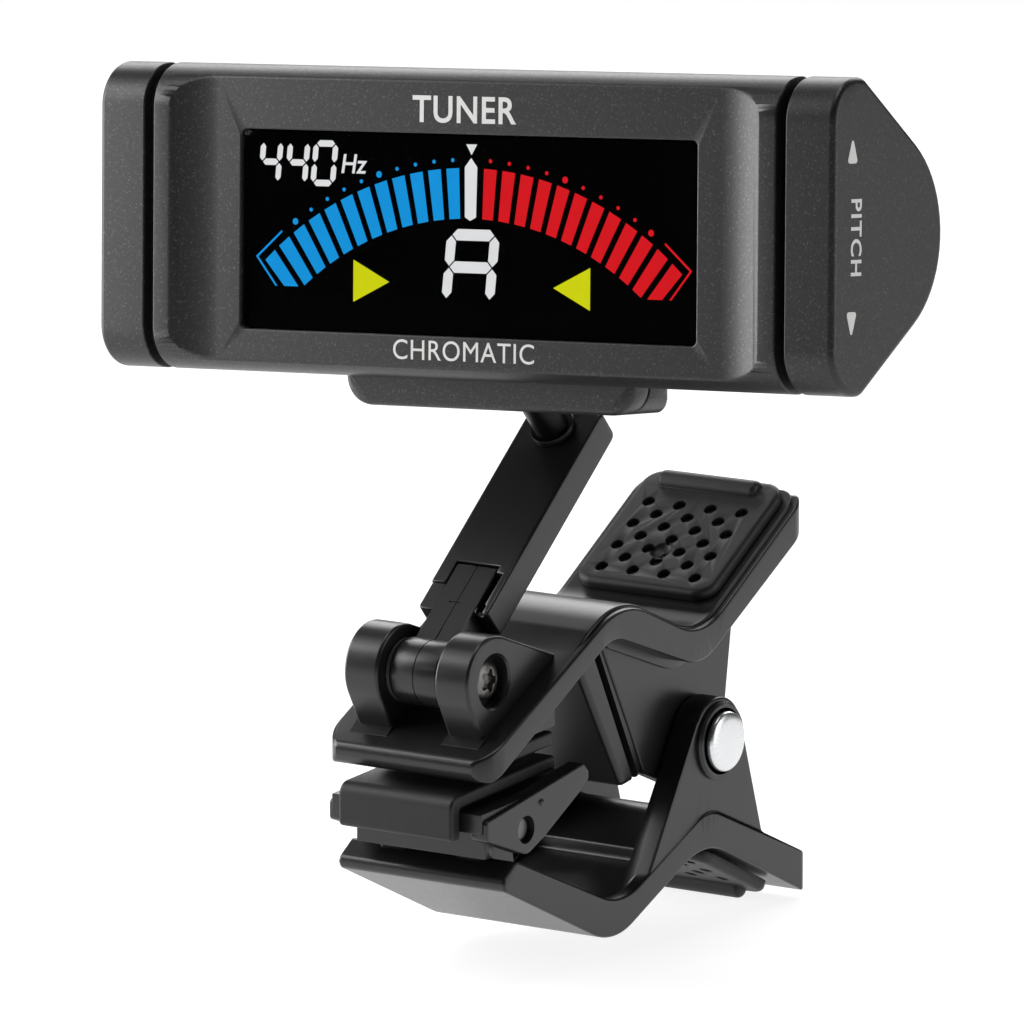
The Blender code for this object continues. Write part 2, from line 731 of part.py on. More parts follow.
def build_hinge_hardware(frames):
    """Screw, nut and two friction washers on the arm's hinge."""
    turn = Matrix.Rotation(math.pi / 2, 4, "Y")
    place = clip_place(0, 0) @ turn
    seat = EAR_OUT - COUNTERBORE + 0.05
    end = -EAR_OUT + 0.3
    profile = [
        (0, seat + 0.55),
        (1.0, seat + 0.5),
        (SCREW_HEAD_R, seat + 0.25),
        (SCREW_HEAD_R, seat),
        (SCREW_R, seat),
        (SCREW_R, end + 0.2),
        (SCREW_R - 0.2, end),
        (0, end),
    ]
    screw = turned("hinge_screw", profile, place, 20)
    nut_face = -EAR_OUT + 1.5 - 0.05
    nut = piece("hinge_nut", cylinder(NUT_R, (nut_face - 1.3, 0, 0), (nut_face, 0, 0), 6), frames["clip"])
    cut(nut, cylinder(SCREW_R + 0.05, (-EAR_OUT - 2, 0, 0), (0, 0, 0), 20))
    for side, label in ((1, "right"), (-1, "left")):
        far, near = (EAR_IN - 0.08) * side, (EAR_IN - 0.08 - WASHER_T) * side
        disc = cylinder(WASHER_R, (near, 0, 0), (far, 0, 0), 20)
        washer = piece(f"hinge_washer_{label}", disc, frames["clip"])
        cut(washer, cylinder(SCREW_R + 0.1, (near - side, 0, 0), (far + side, 0, 0), 20))
    return screw, nut


# ---------------------------------------------------------------- ball joint


def build_ball_joint(frames):
    """Ball stud, the clip on its tail behind the arm, and the liner that grips the ball."""
    ball_place = frames["ball"].matrix_basis.copy()
    neck_angle = math.degrees(math.asin(NECK_R / BALL_R))
    sphere = [
        (BALL_R * math.sin(math.radians(a)), BALL_R * math.cos(math.radians(a)))
        for a in [180 * k / 14 for k in range(15)]
        if a < 180 - neck_angle
    ]
    face = -STUD_LENGTH + 0.05
    back = -STUD_LENGTH - (ARM_FRONT - ARM_BACK)
    profile = sphere + [
        (NECK_R, -BALL_R * math.cos(math.radians(neck_angle))),
        (NECK_R, -BALL_R - 0.9),
        (STUD_R, -BALL_R - 2.2),
        (STUD_R, face + 0.7),
        (COLLAR_R, face + 0.6),
        (COLLAR_R, face),
        (1.0, face),
        (1.0, back - 0.9),
        (0, back - 0.9),
    ]
    profile[0] = (0, BALL_R)
    stud = turned("ball_stud", profile, ball_place)
    clip = [
        (1.05, back - 0.1),
        (2.0, back - 0.1),
        (2.0, back - 0.5),
        (1.05, back - 0.5),
    ]
    retainer = turned("stud_clip", clip, ball_place, 20)
    inner = BALL_R + BALL_CLEAR
    outer = inner + LINER_T
    mouth = 180 - LINER_MOUTH
    outside = [
        (outer * math.sin(math.radians(a)), outer * math.cos(math.radians(a)))
        for a in [mouth * k / 10 for k in range(11)]
    ]
    inside = [
        (inner * math.sin(math.radians(a)), inner * math.cos(math.radians(a)))
        for a in [mouth * k / 10 for k in range(10, -1, -1)]
    ]
    outside[0], inside[-1] = (0, outer), (0, inner)
    liner = turned("socket_liner", outside + inside, ball_place)
    return stud, retainer, liner


# ---------------------------------------------------------------- head


def head_section(inset=0.0, front=None):
    """The head's side outline, (y, z), moved in by an inset; front is where its front face is."""
    slope = math.radians(BACK_ANGLE)
    half = HEAD_HEIGHT / 2 - inset
    front = inset if front is None else front
    shoulder = FLAT_TOP + inset * (math.cos(slope) - 1) / math.sin(slope)
    full_tip = FLAT_TOP + HEAD_HEIGHT / 2 / math.tan(slope)
    tip_r = (full_tip - HEAD_DEPTH) / (1 / math.sin(slope) - 1)
    tip = full_tip - inset / math.sin(slope)
    front_r = max(0.4, min(FRONT_R - inset, shoulder - front - 0.7))
    return rounded(
        [
            (front, -half, front_r),
            (shoulder, -half, max(0.4, RIDGE_R - inset)),
            (tip, 0, tip_r - inset),
            (shoulder, half, max(0.4, RIDGE_R - inset)),
            (front, half, front_r),
        ]
    )


def block_plan(y0, y1):
    """The base block from above, (x, y): straight sides that taper to the back."""
    return rounded(
        [
            (-BLOCK_HALF, y0, 0),
            (BLOCK_HALF, y0, 0),
            (BLOCK_HALF, min(y1, 9.6), 2.0 if y1 > 9.6 else 0),
            *([(7.0, y1, 3.0), (-7.0, y1, 3.0)] if y1 > 9.6 else []),
            (-BLOCK_HALF, min(y1, 9.6), 2.0 if y1 > 9.6 else 0),
        ]
    )


def block_front():
    """The base block from the front, (x, z), rounded at its lower corners."""
    return rounded(
        [
            (-BLOCK_HALF, BLOCK_Z, 2.4),
            (BLOCK_HALF, BLOCK_Z, 2.4),
            (BLOCK_HALF, -9.0, 0),
            (-BLOCK_HALF, -9.0, 0),
        ]
    )


def half_space(low_y, high_y):
    return box((-50, low_y, -30), (50, high_y, 30))


def socket_cutters(frames):
    """The ball's seat and its mouth, in the head's frame."""
    to_head = frames["head"].matrix_basis.inverted() @ frames["ball"].matrix_basis
    centre = Vector(SOCKET)
    out = (to_head.to_3x3() @ Vector((0, 0, -1))).normalized()
    reach = 9.0
    start = 0.9
    spread = math.tan(math.radians(MOUTH_ANGLE))
    mouth = cylinder(
        1.15 + start * spread, centre + out * start, centre + out * reach, 24, 1.15 + reach * spread
    )
    return ball(SEAT_R, centre), mouth


def window_outline(width, height, radius=0.4):
    return rounded(
        [
            (-width / 2, WINDOW_Z - height / 2, radius),
            (width / 2, WINDOW_Z - height / 2, radius),
            (width / 2, WINDOW_Z + height / 2, radius),
            (-width / 2, WINDOW_Z + height / 2, radius),
        ],
        45,
    )


def screw_places():
    x, z = CASE_SCREW
    return [(x, z), (x, -z), (-x, z), (-x, -z)]


def build_front_case(frames):
    case = piece("front_case", prism(head_section(), -CASE_HALF, CASE_HALF), frames["head"])
    inside = CASE_HALF - CASE_WALL
    cavity_front = WINDOW_Y + WINDOW_T + 0.2
    cut(case, prism(head_section(CASE_WALL, cavity_front), -inside, inside))
    keep(case, half_space(-5, SPLIT_Y))
    block = piece("front_block", prism(block_front(), BLOCK_FRONT_Y, SPLIT_Y, "Y"), frames["head"])
    left, right = SOCKET[0] - HOUSING_HALF, SOCKET[0] + HOUSING_HALF
    join(
        case,
        block.data.copy(),
        box((left, BLOCK_FRONT_Y, BLOCK_Z + 1.9), (right, SPLIT_Y, -6.3)),
        *[cylinder(SCREW_POST_R, (x, cavity_front - 0.3, z), (x, SPLIT_Y, z), 16) for x, z in screw_places()],
    )
    bpy.data.objects.remove(block)
    rise = math.sqrt(SCOOP_R**2 - (SCOOP_R - SCOOP_DEPTH - 0.6) ** 2)
    edge = math.degrees(math.asin(rise / SCOOP_R))
    centre_y = SCOOP_DEPTH - SCOOP_R
    scoop = arc((SCOOP_FLAT_HALF, centre_y), SCOOP_R, 90, 90 - edge, 5)
    scoop += arc((-SCOOP_FLAT_HALF, centre_y), SCOOP_R, 90 + edge, 90, 5)
    seat, mouth = socket_cutters(frames)
    cut(
        case,
        prism(scoop, -20, 20, "Z"),
        prism(window_outline(*WINDOW), -3, 4, "Y"),
        seat,
        mouth,
        shaft_hole(1),
        shaft_hole(-1),
        *[cylinder(0.8, (x, 3.6, z), (x, SPLIT_Y + 1, z), 12) for x, z in screw_places()],
    )
    return case


def shaft_hole(side):
    y, z = SHUTTLE_AXIS
    return cylinder(
        SHUTTLE_SHAFT_R + 0.25, ((CASE_HALF - CASE_WALL - 1) * side, y, z), ((CASE_HALF + 1) * side, y, z), 20
    )


def door_cutter(grow):
    return box(
        (-DOOR_HALF - grow, 9.6, -DOOR_HALF_Z - grow), (DOOR_HALF + grow, HEAD_DEPTH + 3, DOOR_HALF_Z + grow)
    )


def build_rear_case(frames):
    start = SPLIT_Y + SEAM
    case = piece("rear_case", prism(head_section(), -CASE_HALF, CASE_HALF), frames["head"])
    inside = CASE_HALF - CASE_WALL
    cut(case, prism(head_section(CASE_WALL, 1.0), -inside, inside))
    keep(case, half_space(start, 40))
    block = prism(block_plan(start, BLOCK_REAR_Y), BLOCK_Z, -9.6, "Z")
    corners = prism(block_front(), start, BLOCK_REAR_Y + 1, "Y")
    lump = piece("rear_block", block, frames["head"])
    keep(lump, corners)
    graph = bpy.context.evaluated_depsgraph_get()
    lump_mesh = bpy.data.meshes.new_from_object(lump.evaluated_get(graph))
    for tool in [m.object for m in lump.modifiers]:
        bpy.data.objects.remove(tool)
    bpy.data.objects.remove(lump)
    left, right = SOCKET[0] - HOUSING_HALF, SOCKET[0] + HOUSING_HALF
    join(
        case,
        lump_mesh,
        box((left, start, BLOCK_Z + 1.9), (right, SOCKET[1] + 0.24, -6.3)),
        *[cylinder(SCREW_POST_R, (sx, start, sz), (sx, 9.6, sz), 16) for sx, sz in screw_places()],
    )
    recesses = [cylinder(1.75, (sx, 8.6, sz), (sx, 20, sz), 16) for sx, sz in screw_places()]
    seat, mouth = socket_cutters(frames)
    cut(
        case,
        cylinder(CELL_R + CELL_CLEAR, (-CONTACT_AT - 0.8, CELL_Y, 0), (CONTACT_AT + 0.8, CELL_Y, 0), 24),
        seat,
        mouth,
        shaft_hole(1),
        shaft_hole(-1),
        door_cutter(GAP),
        *recesses,
        *[cylinder(1.0, (sx, start - 1, sz), (sx, 9.0, sz), 12) for sx, sz in screw_places()],
    )
    return case


def build_battery_door(frames):
    door = piece("battery_door", prism(head_section(), -DOOR_HALF, DOOR_HALF), frames["head"])
    cut(door, prism(head_section(DOOR_WALL, 1.0), -DOOR_HALF - 1, DOOR_HALF + 1))
    keep(door, door_cutter(0))
    return door


def build_shuttle(frames, name, side):
    """An end cap that rocks about the head's length, with its shaft."""
    start = (CASE_HALF + GROOVE) * side
    end = HEAD_LENGTH / 2 * side
    skirt = (CASE_HALF + 0.25) * side
    y, z = SHUTTLE_AXIS
    mesh = prism(head_section(), *sorted((start, end)))
    shuttle = piece(name, mesh, frames["head"], (0, y, z))
    softened(shuttle, 0.45, 2, 60)
    join(
        shuttle,
        prism(head_section(1.0), *sorted((skirt, start + 0.5 * side))),
        cylinder(SHUTTLE_SHAFT_R, ((CASE_HALF - 3.0) * side, y, z), (start + side, y, z), 20),
    )
    return shuttle


def build_display(frames):
    """The window, the liquid crystal panel and the circuit board, one behind another."""
    head = frames["head"]
    outline = window_outline(WINDOW[0] - GAP, WINDOW[1] - GAP)
    piece("display_window", prism(outline, WINDOW_Y, WINDOW_Y + WINDOW_T, "Y"), head)
    piece("lcd_panel", prism(window_outline(*LCD), LCD_Y, LCD_Y + LCD_T, "Y"), head)
    piece("circuit_board", prism(window_outline(*BOARD), BOARD_Y, BOARD_Y + BOARD_T, "Y"), head)
    behind = BOARD_Y + BOARD_T + 0.1
    piece("processor_chip", box((-9.0, behind, 5.8), (-3.0, behind + 0.8, 8.4)), head)
    piece("piezo_disc", cylinder(2.2, (-17.0, behind, -7.6), (-17.0, behind + 0.5, -7.6), 20), head)


def build_battery(frames):
    """The cell, its two contacts, and the switch behind each end cap."""
    head = frames["head"]
    end = CELL_LENGTH / 2
    can = end - CELL_NIB
    cell = piece("battery_cell", cylinder(CELL_R, (-can, CELL_Y, 0), (can, CELL_Y, 0), 24), head)
    join(cell, cylinder(1.9, (can - 0.4, CELL_Y, 0), (end, CELL_Y, 0), 16))
    for label, side, touch, radius, tip in (("spring", -1, can, 2.6, 1.6), ("plate", 1, end, 1.6, 1.2)):
        near, far = sorted((CONTACT_AT * side, (CONTACT_AT + CONTACT_T) * side))
        plate = box((near, CELL_Y - 4.15, -4.0), (far, CELL_Y + 3.85, 4.0))
        contact = piece(f"battery_{label}_contact", plate, head)
        start, reach = (CONTACT_AT + 0.1) * side, (touch + 0.25) * side
        join(contact, cylinder(radius, (start, CELL_Y, 0), (reach, CELL_Y, 0), 16, tip))
    y, z = SHUTTLE_AXIS
    for name, side in (("calibration_switch", 1), ("power_switch", -1)):
        low, high = sorted(((CONTACT_AT + 0.6) * side, (CASE_HALF - 3.3) * side))
        piece(name, box((low, y - 2.4, z - 2.4), (high, y + 2.4, z + 2.4)), head)


def build_case_screws(frames):
    for i, (x, z) in enumerate(screw_places(), 1):
        head_y = 8.65
        place = frames["head"].matrix_basis @ Matrix.Translation(Vector((x, head_y, z)) * MM)
        place = place @ Matrix.Rotation(-math.pi / 2, 4, "X")
        profile = [(0, 0.9), (1.0, 0.85), (1.45, 0.6), (1.45, 0.0), (0.72, 0.0), (0.72, -4.7), (0, -4.9)]
        turned(f"case_screw_{i}", profile, place, 12)


# ---------------------------------------------------------------- finishes

FINISHES = {
    "satin_paint": ((0.045, 0.044, 0.045), 0.45, 0.2),
    "black_plastic": ((0.022, 0.022, 0.024), 0.42, 0.0),
    "rubber": ((0.012, 0.012, 0.012), 0.75, 0.0),
    "bright_steel": ((0.75, 0.76, 0.78), 0.22, 1.0),
    "dark_steel": ((0.12, 0.12, 0.12), 0.35, 1.0),
    "window": ((0.005, 0.005, 0.006), 0.08, 0.0),
    "display": ((0.01, 0.01, 0.012), 0.3, 0.0),
    "board": ((0.02, 0.12, 0.05), 0.5, 0.0),
    "nylon": ((0.6, 0.6, 0.57), 0.5, 0.0),
    "cell": ((0.05, 0.05, 0.05), 0.35, 0.4),
    "brass": ((0.7, 0.5, 0.2), 0.3, 1.0),
}

FINISH_OF = {
    "satin_paint": ("front_case", "rear_case", "battery_door", "power_shuttle", "calibration_shuttle"),
    "rubber": ("upper_thumb_grip", "lower_thumb_grip", "upper_jaw_pad", "rocker_pad"),
    "bright_steel": (
        "pivot_pin",
        "pivot_cap",
        "torsion_spring",
        "battery_spring_contact",
        "battery_plate_contact",
    ),
    "dark_steel": ("hinge_screw", "hinge_nut", "ball_stud", "stud_clip", "rocker_pin", "case_screw"),
    "window": ("display_window",),
    "display": ("lcd_panel",),
    "board": ("circuit_board",),
    "nylon": ("socket_liner", "hinge_washer"),
    "cell": ("battery_cell",),
    "brass": ("piezo_disc",),
}


def apply_finishes():
    made = {}
    for finish, (colour, roughness, metallic) in FINISHES.items():
        material = bpy.data.materials.new(finish)
        material.use_nodes = True
        shader = material.node_tree.nodes["Principled BSDF"]
        shader.inputs["Base Color"].default_value = (*colour, 1.0)
        shader.inputs["Roughness"].default_value = roughness
        shader.inputs["Metallic"].default_value = metallic
        made[finish] = material
    for obj in parts.objects:
        if obj.type == "EMPTY":
            continue
        found = [finish for finish, names in FINISH_OF.items() if obj.name.startswith(names)]
        finish = found[0] if found else "black_plastic"
        obj.data.materials.append(made[finish].copy())
        if obj.type == "MESH":
            obj.data.shade_smooth()
            obj.data.set_sharp_from_angle(angle=math.radians(35))


def main():
    for obj in list(bpy.data.objects):
        bpy.data.objects.remove(obj)
    bpy.context.scene.collection.children.link(parts)
    bpy.context.scene.collection.children.link(cutters)
    frames = build_frames()
    build_upper_lever(frames)
    build_lower_lever(frames)
    upper = grip_frame(frames, "upper_grip_frame", UPPER_THUMB, 35.8, False)
    lower = grip_frame(frames, "lower_grip_frame", LOWER_THUMB_UNDER, 34.2, True)
    build_thumb_grip("upper_thumb_grip", upper, UPPER_GRIP_LENGTH)
    build_thumb_grip("lower_thumb_grip", lower, LOWER_GRIP_LENGTH)
    build_torsion_spring(frames)
    build_pivot_pin()
    build_upper_jaw_pad(frames)
    build_rocker(frames)
    build_arm(frames)
    build_hinge_hardware(frames)
    build_ball_joint(frames)
    build_front_case(frames)
    build_rear_case(frames)
    build_battery_door(frames)
    build_shuttle(frames, "power_shuttle", -1)
    build_shuttle(frames, "calibration_shuttle", 1)
    build_display(frames)
    build_battery(frames)
    build_case_screws(frames)
    apply_finishes()


main()
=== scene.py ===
import json
import math

import bmesh
import bpy
from mathutils import Matrix, Vector


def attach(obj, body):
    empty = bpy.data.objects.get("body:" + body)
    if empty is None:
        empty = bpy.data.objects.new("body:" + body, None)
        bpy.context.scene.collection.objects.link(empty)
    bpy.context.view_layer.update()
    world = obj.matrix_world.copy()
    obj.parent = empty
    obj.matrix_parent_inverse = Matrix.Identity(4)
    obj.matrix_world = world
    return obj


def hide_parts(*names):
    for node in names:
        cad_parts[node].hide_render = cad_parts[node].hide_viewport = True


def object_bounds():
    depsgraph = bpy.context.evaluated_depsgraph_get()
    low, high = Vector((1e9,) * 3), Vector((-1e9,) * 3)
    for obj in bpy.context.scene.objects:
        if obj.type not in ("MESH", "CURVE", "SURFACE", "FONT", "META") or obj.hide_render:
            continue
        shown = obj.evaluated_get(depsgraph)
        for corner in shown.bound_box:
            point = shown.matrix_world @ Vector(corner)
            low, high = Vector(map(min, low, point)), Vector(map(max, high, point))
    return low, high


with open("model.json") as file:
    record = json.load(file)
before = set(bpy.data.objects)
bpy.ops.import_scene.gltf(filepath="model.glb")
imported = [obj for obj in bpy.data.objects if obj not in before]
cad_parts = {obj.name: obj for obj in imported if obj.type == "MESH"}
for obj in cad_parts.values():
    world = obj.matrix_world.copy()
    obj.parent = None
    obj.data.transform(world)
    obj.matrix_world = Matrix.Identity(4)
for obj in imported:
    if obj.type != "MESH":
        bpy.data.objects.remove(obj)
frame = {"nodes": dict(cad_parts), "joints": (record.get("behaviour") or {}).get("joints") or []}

# Looks of a clip-on tuner. Shapes are made in millimetres in the frame of the part that holds them:
# the clip's (y, z) from the arm hinge, the arm's along its length, and the head's from its front face.
CAD_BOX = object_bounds()
MM = 0.001
GAP = 0.3
ARC_STEP = 6.0
JOINTS = {joint["name"]: joint for joint in frame["joints"]}


def joint_point(name):
    return Vector(JOINTS[name]["pos_m"]) / MM


def head_frame():
    across = Vector(JOINTS["calibration_rock"]["axis"]).normalized()
    back = Vector(JOINTS["battery_door_pull"]["axis"]).normalized()
    turn = Matrix((across, back, across.cross(back))).transposed()
    middle = (joint_point("calibration_rock") + joint_point("power_rock")) / 2
    return Matrix.Translation(middle - turn @ Vector((0, SHUTTLE_AXIS_Y, 0))) @ turn.to_4x4()


# ---------------------------------------------------------------- sizes

HINGE = joint_point("arm_fold")
BALL = joint_point("head_tilt")
PIVOT = tuple((joint_point("clip_open") - HINGE)[1:])
ROCKER_AXIS = tuple((joint_point("rocker_tilt") - HINGE)[1:])
SHUTTLE_AXIS_Y = 7.5

CLIP_HALF = 8.2
WEB_T = 2.4
CHEEK_OUT = 5.5
CHEEK_T = 1.5
PIVOT_BOSS_R = 3.6
BOSS_RIM = 0.4
PIN_R = 1.5
PIN_HEAD_R = 2.5
PIN_HEAD_T = 0.65
UPPER_FRONT_Y = -4.4
LOWER_FRONT_Y = -2.3
REAR_Y = 42.4
SKIN = 0.26  # the raised middle of the upper lever over its border
SKIN_INSET = 0.6
SKIN_FRONT_Y = 8.6
PAD_HALF = 5.6
PAD_T = 1.2
UPPER_PAD_ENDS = (0.2, 9.0)
ROCKER_FRONT_Y = -5.2
ROCKER_REAR_Y = 10.4
ROCKER_EAR_R = 1.6
POCKET_WALL = 1.3
POCKET_FLOOR = 1.5

GRIP_HALF = 6.85
GRIP_T = 1.3
UPPER_GRIP_LENGTH = 14.0
UPPER_GRIP_Y = 35.8
LOWER_GRIP_LENGTH = 11.6
LOWER_GRIP_Y = 34.2
HOLE_R = 0.56
HOLE_STEP = 3.1
HOLE_EDGE = 1.75
ROW_STEP = 1.36
DIMPLE = (-0.2, 4.4)  # across, and from the pad's near edge
DIMPLE_CLEAR = 1.3

EAR_R = 3.7
EAR_IN = 2.8
EAR_OUT = 6.1
SCREW_R = 1.2
SCREW_HEAD_R = 1.6
COUNTERBORE_R = 2.15
COUNTERBORE = 1.1

ARM_LEAN = 40.9
ARM_HALF = 3.5
ARM_LENGTH = 27.2
ARM_FOOT = 5.2
ARM_FRONT = 1.8
ARM_BACK = -1.1
STUD_AT = 24.3
STUD_LENGTH = 9.0
TONGUE_HALF = 2.0
TONGUE_END = 12.0
BARREL_R = 2.7

BALL_R = 2.4
NECK_R = 1.1
NECK_CLEAR_R = 1.15
MOUTH_ANGLE = 27
LINER_OUT = 3.11
SEAT_R = 3.41

HEAD_LENGTH = 72.0
HEAD_HEIGHT = 25.0
HEAD_DEPTH = 15.7
BACK_ANGLE = 34.8
FLAT_TOP = 4.3
FRONT_R = 3.6
RIDGE_R = 1.5
CASE_WALL = 1.5
CASE_HALF = 30.5
GROOVE = 0.9
SPLIT_Y = 6.6
SEAM = 0.2
SCOOP_DEPTH = 1.1
SCOOP_FLAT_HALF = 24.6
SCOOP_R = 9.3
WINDOW = (44.7, 16.2)
WINDOW_Z = -0.8
LCD_Y = 2.2
CELL_R = 5.2
CELL_Y = 9.15
DOOR_HALF = 24.0
DOOR_HALF_Z = 6.2
CASE_SCREW_X = CASE_HALF - 3.7
CASE_SCREW_Z = 7.3
POST_R = 2.1
POST_FLOOR_Y = 8.6
POST_TOP_Y = 9.6
SCREW_RECESS_R = 1.75
SCREW_HOLE_R = 1.0
SHAFT_R = 2.0
SHAFT_HOLE_R = 2.25
BLOCK_HALF = 14.2
BLOCK_REAR_Y = 14.5
BLOCK_FRONT_Y = 4.4

CLIP = Matrix.Translation(HINGE)
ARM = CLIP @ Matrix.Rotation(math.radians(ARM_LEAN), 4, "X")
BALL_FRAME = ARM @ Matrix.Translation((0, STUD_AT, ARM_FRONT + STUD_LENGTH))
HEAD = head_frame()
SOCKET = HEAD.inverted() @ BALL
BLOCK_Z = SOCKET.z - SEAT_R - 0.59


# ---------------------------------------------------------------- outlines


def rounded(corners, step=ARC_STEP):
    """Points of a closed outline whose corners (a, b, radius) are rounded with arcs."""
    points = []
    for i, (a, b, radius) in enumerate(corners):
        here = Vector((a, b))
        back = (Vector(corners[i - 1][:2]) - here).normalized()
        ahead = (Vector(corners[(i + 1) % len(corners)][:2]) - here).normalized()
        turn = math.pi - back.angle(ahead)
        if radius <= 0 or turn < 0.02:
            points.append(here)
            continue
        centre = here + (back + ahead).normalized() * radius / math.cos(turn / 2)
        start = here + back * radius * math.tan(turn / 2) - centre
        sweep = start.angle_signed(here + ahead * radius * math.tan(turn / 2) - centre)
        facets = max(2, math.ceil(math.degrees(turn) / step))
        points += [centre + Matrix.Rotation(-sweep * k / facets, 2) @ start for k in range(facets + 1)]
    return points


def arc(centre, radius, start, end, facets=24):
    """Points along an arc, in degrees."""
    angles = [math.radians(start + (end - start) * k / facets) for k in range(facets + 1)]
    return [Vector((centre[0] + radius * math.cos(a), centre[1] + radius * math.sin(a))) for a in angles]


def tangent_angle(point, centre, radius, side):
    """Where a tangent from a point touches a circle, in degrees round its centre."""
    away = Vector(point) - Vector(centre)
    return math.degrees(math.atan2(away.y, away.x) + side * math.acos(radius / away.length))


def line(point, slope):
    """A straight edge, as a function of y."""
    return lambda y: point[1] + slope * (y - point[0])


def crossing(first, second):
    a0, a1 = first(0.0), second(0.0)
    y = (a1 - a0) / ((first(1.0) - a0) - (second(1.0) - a1))
    return y, first(y)


def rectangle(half_a, half_b, radius, a=0.0, b=0.0):
    corners = [(-half_a, -half_b), (half_a, -half_b), (half_a, half_b), (-half_a, half_b)]
    return rounded([(a + p, b + q, radius) for p, q in corners])


# ---------------------------------------------------------------- shapes

PLANES = {
    "X": lambda a, b, at: (at, a, b),
    "Y": lambda a, b, at: (a, at, b),
    "Z": lambda a, b, at: (a, b, at),
}


def prism(points, low, high, axis="X"):
    """A flat outline run along an axis."""
    shape = bmesh.new()
    put = PLANES[axis]
    face = shape.faces.new([shape.verts.new(put(a, b, low)) for a, b in points])
    run = bmesh.ops.extrude_face_region(shape, geom=[face])
    moved = [v for v in run["geom"] if isinstance(v, bmesh.types.BMVert)]
    bmesh.ops.translate(shape, vec=put(0, 0, high - low), verts=moved)
    bmesh.ops.recalc_face_normals(shape, faces=shape.faces)
    return shape


def box(low, high):
    shape = bmesh.new()
    bmesh.ops.create_cube(shape, size=1.0)
    low, high = Vector(low), Vector(high)
    bmesh.ops.scale(shape, vec=high - low, verts=shape.verts)
    bmesh.ops.translate(shape, vec=(low + high) / 2, verts=shape.verts)
    return shape


def cylinder(radius, start, end, sides=48, end_radius=None):
    start, end = Vector(start), Vector(end)
    run = end - start
    shape = bmesh.new()
    far = radius if end_radius is None else end_radius
    bmesh.ops.create_cone(
        shape, cap_ends=True, segments=sides, radius1=radius, radius2=far, depth=run.length
    )
    turn = Vector((0, 0, 1)).rotation_difference(run).to_matrix().to_4x4()
    bmesh.ops.transform(shape, matrix=Matrix.Translation((start + end) / 2) @ turn, verts=shape.verts)
    return shape


def ball(radius, centre):
    shape = bmesh.new()
    bmesh.ops.create_uvsphere(shape, u_segments=48, v_segments=24, radius=radius)
    bmesh.ops.translate(shape, vec=centre, verts=shape.verts)
    return shape


def turned(profile, steps=72):
    """A profile of (radius, height) turned about Z."""
    shape = bmesh.new()
    points = [shape.verts.new((r, 0, h)) for r, h in profile]
    for first, second in zip(points, points[1:] + points[:1]):
        if first.co.x > 0 or second.co.x > 0:
            shape.edges.new((first, second))
    bmesh.ops.spin(
        shape,
        geom=shape.verts[:] + shape.edges[:],
        axis=(0, 0, 1),
        angle=2 * math.pi,
        steps=steps,
        use_merge=True,
    )
    bmesh.ops.remove_doubles(shape, verts=shape.verts, dist=1e-5)
    bmesh.ops.recalc_face_normals(shape, faces=shape.faces)
    return shape


def moved(shape, matrix):
    bmesh.ops.transform(shape, matrix=matrix, verts=shape.verts)
    return shape


def turned_x(profile, at, centre=(0.0, 0.0), steps=72):
    """A turned shape whose axis runs along X."""
    place = Matrix.Translation((at, *centre)) @ Matrix.Rotation(math.pi / 2, 4, "Y")
    return moved(turned(profile, steps), place)


def mesh_of(shape, name="shape"):
    mesh = bpy.data.meshes.new(name)
    shape.to_mesh(mesh)
    shape.free()
    return mesh


def worked(base, operation, tools):
    """What a Boolean of each tool leaves of a shape."""
    scene = bpy.context.scene.collection
    objects = []
    for shape in [base, *tools]:
        obj = bpy.data.objects.new("blank", mesh_of(shape))
        scene.objects.link(obj)
        objects.append(obj)
    for tool in objects[1:]:
        modifier = objects[0].modifiers.new("tool", "BOOLEAN")
        modifier.operation = operation
        modifier.solver = "EXACT"
        modifier.object = tool
    graph = bpy.context.evaluated_depsgraph_get()
    result = bpy.data.meshes.new_from_object(objects[0].evaluated_get(graph))
    for obj in objects:
        bpy.data.objects.remove(obj)
    shape = bmesh.new()
    shape.from_mesh(result)
    bpy.data.meshes.remove(result)
    bmesh.ops.remove_doubles(shape, verts=shape.verts, dist=1e-4)
    bmesh.ops.dissolve_degenerate(shape, edges=shape.edges, dist=1e-4)
    bmesh.ops.triangulate(shape, faces=[f for f in shape.faces if len(f.verts) > 4])
    return shape


def cut(base, *tools):
    return worked(base, "DIFFERENCE", tools)


def join(base, *tools):
    return worked(base, "UNION", tools)


def keep(base, tool):
    return worked(base, "INTERSECT", [tool])


def soften(shape, width, segments=2, angle=34, where=None):
    """Rounds the edges that are sharper than an angle, and that where accepts."""
    chosen = [
        e
        for e in shape.edges
        if e.is_manifold
        and math.degrees(e.calc_face_angle(0)) > angle
        and (where is None or where((e.verts[0].co + e.verts[1].co) / 2))
    ]
    bmesh.ops.bevel(
        shape,
        geom=chosen,
        offset=width,
        offset_type="OFFSET",
        segments=segments,
        profile=0.5,
        affect="EDGES",
        clamp_overlap=False,
        material=-1,
    )
    return shape


def both_sides(make):
    return [make(1), make(-1)]


def round_profile(radius, angles):
    """Points (radius, height) of a ball's outline, the angles in degrees from its top."""
    turns = [math.radians(a) for a in angles]
    return [(radius * math.sin(a), radius * math.cos(a)) for a in turns]


def evaluated(curve):
    """The shape that a curve or a text makes."""
    obj = bpy.data.objects.new("outline", curve)
    bpy.context.scene.collection.objects.link(obj)
    graph = bpy.context.evaluated_depsgraph_get()
    mesh = bpy.data.meshes.new_from_object(obj.evaluated_get(graph))
    bpy.data.objects.remove(obj)
    shape = bmesh.new()
    shape.from_mesh(mesh)
    return shape


def slab(points, inner, outer, side=1):
    return prism(points, *sorted((inner * side, outer * side)))


# ---------------------------------------------------------------- finishing a piece


